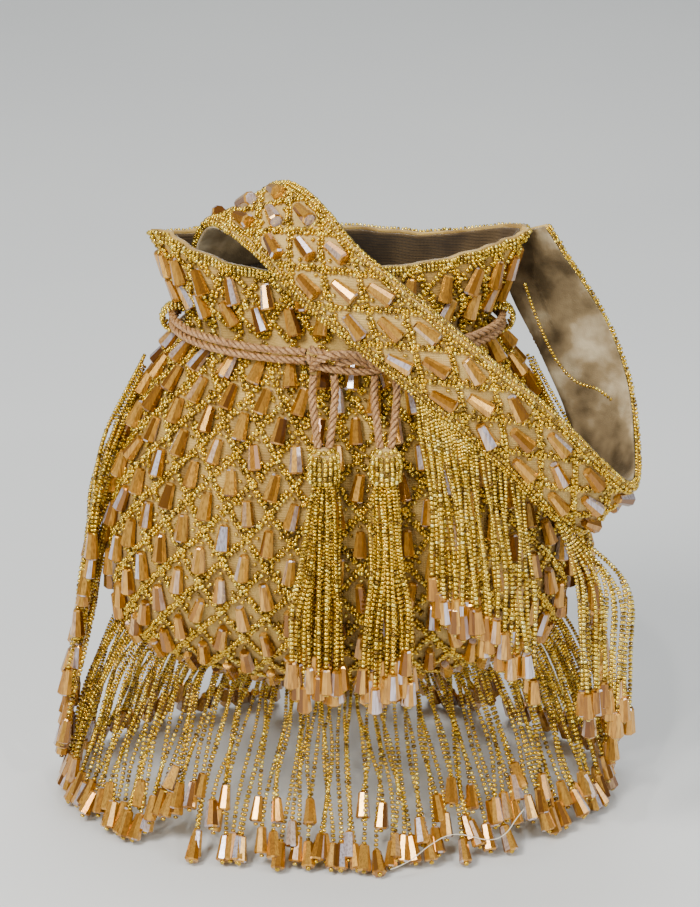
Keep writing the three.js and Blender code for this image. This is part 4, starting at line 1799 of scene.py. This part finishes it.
@dataclass
class LooseStrings:
    """The loose bead string over the velvet and the fine cream thread over the front strings."""

    shop: BeadShop
    finishes: Finishes
    string_points: tuple = (
        (91, 2, 279),
        (97, -1, 262),
        (106, -6, 243),
        (116, -10, 232),
        (127, -16, 230),
        (134, -20, 226),
    )
    thread_points: tuple = (
        (26, -97.5, 7),
        (31, -97, 9),
        (37, -95.5, 12),
        (44, -93, 17),
        (52, -91, 21.5),
        (59, -90.5, 23),
        (66, -91, 22),
        (73, -91.5, 20.5),
        (79, -91, 21),
        (84, -89, 24),
        (88, -86, 29),
        (92, -83, 33),
    )
    thread_diameter: float = 0.5 * MM

    def bead_string(self) -> bpy.types.Object:
        """Makes the loose bead string."""
        seeds = self.shop.seeds()
        path = smooth_path(mm(*self.string_points).reshape(-1, 3), 120)
        self.shop.line(seeds, path, 1.75 * MM, 0.95 * MM)
        return seeds.build("loose_string_beads", self.finishes.seed, True, self.shop.rng)

    def thread(self) -> bpy.types.Object:
        """Makes the cream thread as a thin tube."""
        points = mm(*self.thread_points).reshape(-1, 3)
        dense = smooth_path(points, 200)
        middle = walk(dense, np.linspace(0, path_length(dense), 90))
        _, u, v = frames_along(middle)
        turn = np.linspace(0, 2 * math.pi, 6, endpoint=False)
        radius = self.thread_diameter / 2
        rings = (
            middle[:, None, :]
            + radius * u[:, None, :] * np.cos(turn)[None, :, None]
            + radius * v[:, None, :] * np.sin(turn)[None, :, None]
        )
        obj = mesh_from_rings("loose_thread", rings, self.finishes.thread)
        settle(obj, Body.BAG, Slot.CLOTH)
        return obj


# ---- stage ----------------------------------------------------------------------------------------


@dataclass
class Stage:
    """The floor, the backdrop, the lights and the camera."""

    target: tuple = (0.0060, 0.0, 0.1880)
    distance: float = 2.1
    elevation: float = math.radians(25)
    lens: float = 168.0

    def camera(self) -> None:
        """Places the camera in front of the bag, looking down on it."""
        data = bpy.data.cameras.new("camera")
        data.lens = self.lens
        data.sensor_width = 36
        data.sensor_fit = "AUTO"
        camera = bpy.data.objects.new("camera", data)
        bpy.context.scene.collection.objects.link(camera)
        target = Vector(self.target)
        away = Vector((0, -math.cos(self.elevation), math.sin(self.elevation)))
        camera.location = target + away * self.distance
        camera.rotation_euler = away.to_track_quat("Z", "Y").to_euler()
        bpy.context.scene.camera = camera

    def ground(self) -> None:
        """Makes the floor and the backdrop."""
        deselect_all()
        bpy.ops.mesh.primitive_plane_add(size=24, location=(0, 0, 0))
        floor = bpy.context.object
        floor.name = "floor"
        floor.data.materials.append(
            PlainFinish("floor_paper", (0.74, 0.75, 0.74), (0.70, 0.71, 0.71), scale=3.0).make()
        )
        deselect_all()
        bpy.ops.mesh.primitive_plane_add(size=24, location=(0, 7.0, 11.9), rotation=(math.pi / 2, 0, 0))
        wall = bpy.context.object
        wall.name = "backdrop"
        wall.data.materials.append(
            PlainFinish("backdrop_paper", (0.50, 0.56, 0.58), (0.47, 0.53, 0.56), scale=1.0).make()
        )

    def light(self, name: str, place: Sequence[float], size: float, power: float, colour: Sequence[float]) -> None:
        """Adds one area light that faces the bag."""
        data = bpy.data.lights.new(name, "AREA")
        data.size = size
        data.energy = power
        data.color = colour
        lamp = bpy.data.objects.new(name, data)
        bpy.context.scene.collection.objects.link(lamp)
        lamp.location = place
        away = Vector(place) - Vector(self.target)
        lamp.rotation_euler = away.to_track_quat("Z", "Y").to_euler()

    def lights(self) -> None:
        """Adds the soft boxes, the small bright lamps and the room light."""
        self.light("key", (-0.8, -1.0, 1.5), 0.55, 34, (1.0, 0.98, 0.94))
        self.light("fill", (1.3, -0.9, 0.9), 0.7, 9, (0.93, 0.97, 1.0))
        self.light("top", (0.1, 0.5, 1.8), 1.0, 20, (1.0, 1.0, 1.0))
        self.light("spark_left", (-0.5, -1.3, 0.8), 0.06, 5.0, (1.0, 0.95, 0.85))
        self.light("spark_right", (0.7, -1.2, 1.2), 0.06, 5.0, (1.0, 0.98, 0.93))
        self.light("spark_high", (-0.1, -0.9, 1.7), 0.06, 5.0, (1.0, 1.0, 0.97))
        world = bpy.data.worlds.new("room")
        bpy.context.scene.world = world
        world.use_nodes = True
        background = world.node_tree.nodes["Background"]
        background.inputs["Color"].default_value = (0.72, 0.77, 0.80, 1.0)
        background.inputs["Strength"].default_value = 0.38

    def make(self) -> None:
        """Makes the ground and the lights."""
        self.ground()
        self.lights()


# ---- the whole bag --------------------------------------------------------------------------------


def numbered(prefix: str, count: int) -> list[str]:
    """Gives numbered node names."""
    return [f"{prefix}_{i}" for i in range(1, count + 1)]


def main() -> None:
    """Builds the bag piece by piece."""
    logging.basicConfig(level=logging.INFO, format="%(message)s")
    stage = Stage()
    stage.camera()
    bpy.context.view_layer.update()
    finishes = Finishes()
    shop = BeadShop(finishes)
    form = PouchForm()
    strap_form = StrapForm()

    drawstring = Drawstring(finishes, shop)
    drawstring.ropes()
    tassels = (
        Tassel("left", -6.5, -9.6, 16.0, shop, finishes),
        Tassel("right", 23.0, 24.4, 15.4, shop, finishes),
    )
    for tassel in tassels:
        tassel.make()
    loose = LooseStrings(shop, finishes)
    loose.thread()
    settle(drawstring.knot(), Body.BAG, Slot.ROPE, "drawstring_knot")
    settle(drawstring.loop(-1), Body.BAG, Slot.BEADS, "cord_loop_left")
    settle(drawstring.loop(1), Body.BAG, Slot.BEADS, "cord_loop_right")
    settle(loose.bead_string(), Body.BAG, Slot.BEADS, "loose_bead_string")

    cloth = PouchCloth(form, finishes).make()
    settle(cloth, Body.BAG, Slot.CLOTH, "pouch")
    lining = MouthLining(form, finishes).make()
    settle(lining, Body.BAG, Slot.LINING, "mouth_lining")
    for piece in PouchNet(form, shop).make() + [RimTrim(form, shop).make()]:
        settle(piece, Body.BAG, Slot.BEADS)

    strap = Strap(strap_form, shop, finishes)
    face = strap.face()
    settle(face, Body.BAG, Slot.BAND, "strap_face")
    velvet = strap.lining()
    settle(velvet, Body.BAG, Slot.VELVET, "strap_lining")
    for piece in strap.beads():
        settle(piece, Body.BAG, Slot.BEADS)
    strings, crystals = strap.fringe()
    settle(strings, Body.BAG, Slot.BEADS, *numbered("strap_bead_strings", 5))
    settle(crystals, Body.BAG, Slot.BEADS)

    bottom = BottomFringe(form, shop)
    for side, prefix in ((-1, "front_bead_strings"), (1, "back_bead_strings")):
        strings, crystals = bottom.make(side)
        settle(strings, Body.BAG, Slot.BEADS, *numbered(prefix, 7))
        settle(crystals, Body.BAG, Slot.BEADS)
    for side, prefix in ((-1, "left_bead_strings"), (1, "right_bead_strings")):
        strings, crystals = SideFringe(shop).make(side)
        nodes = [f"{prefix}_{part}" for part in ("lower_front", "lower_back", "middle", "upper")]
        settle(strings, Body.BAG, Slot.BEADS, *nodes)
        settle(crystals, Body.BAG, Slot.BEADS)

    stage.make()


if __name__ == "__main__":
    main()
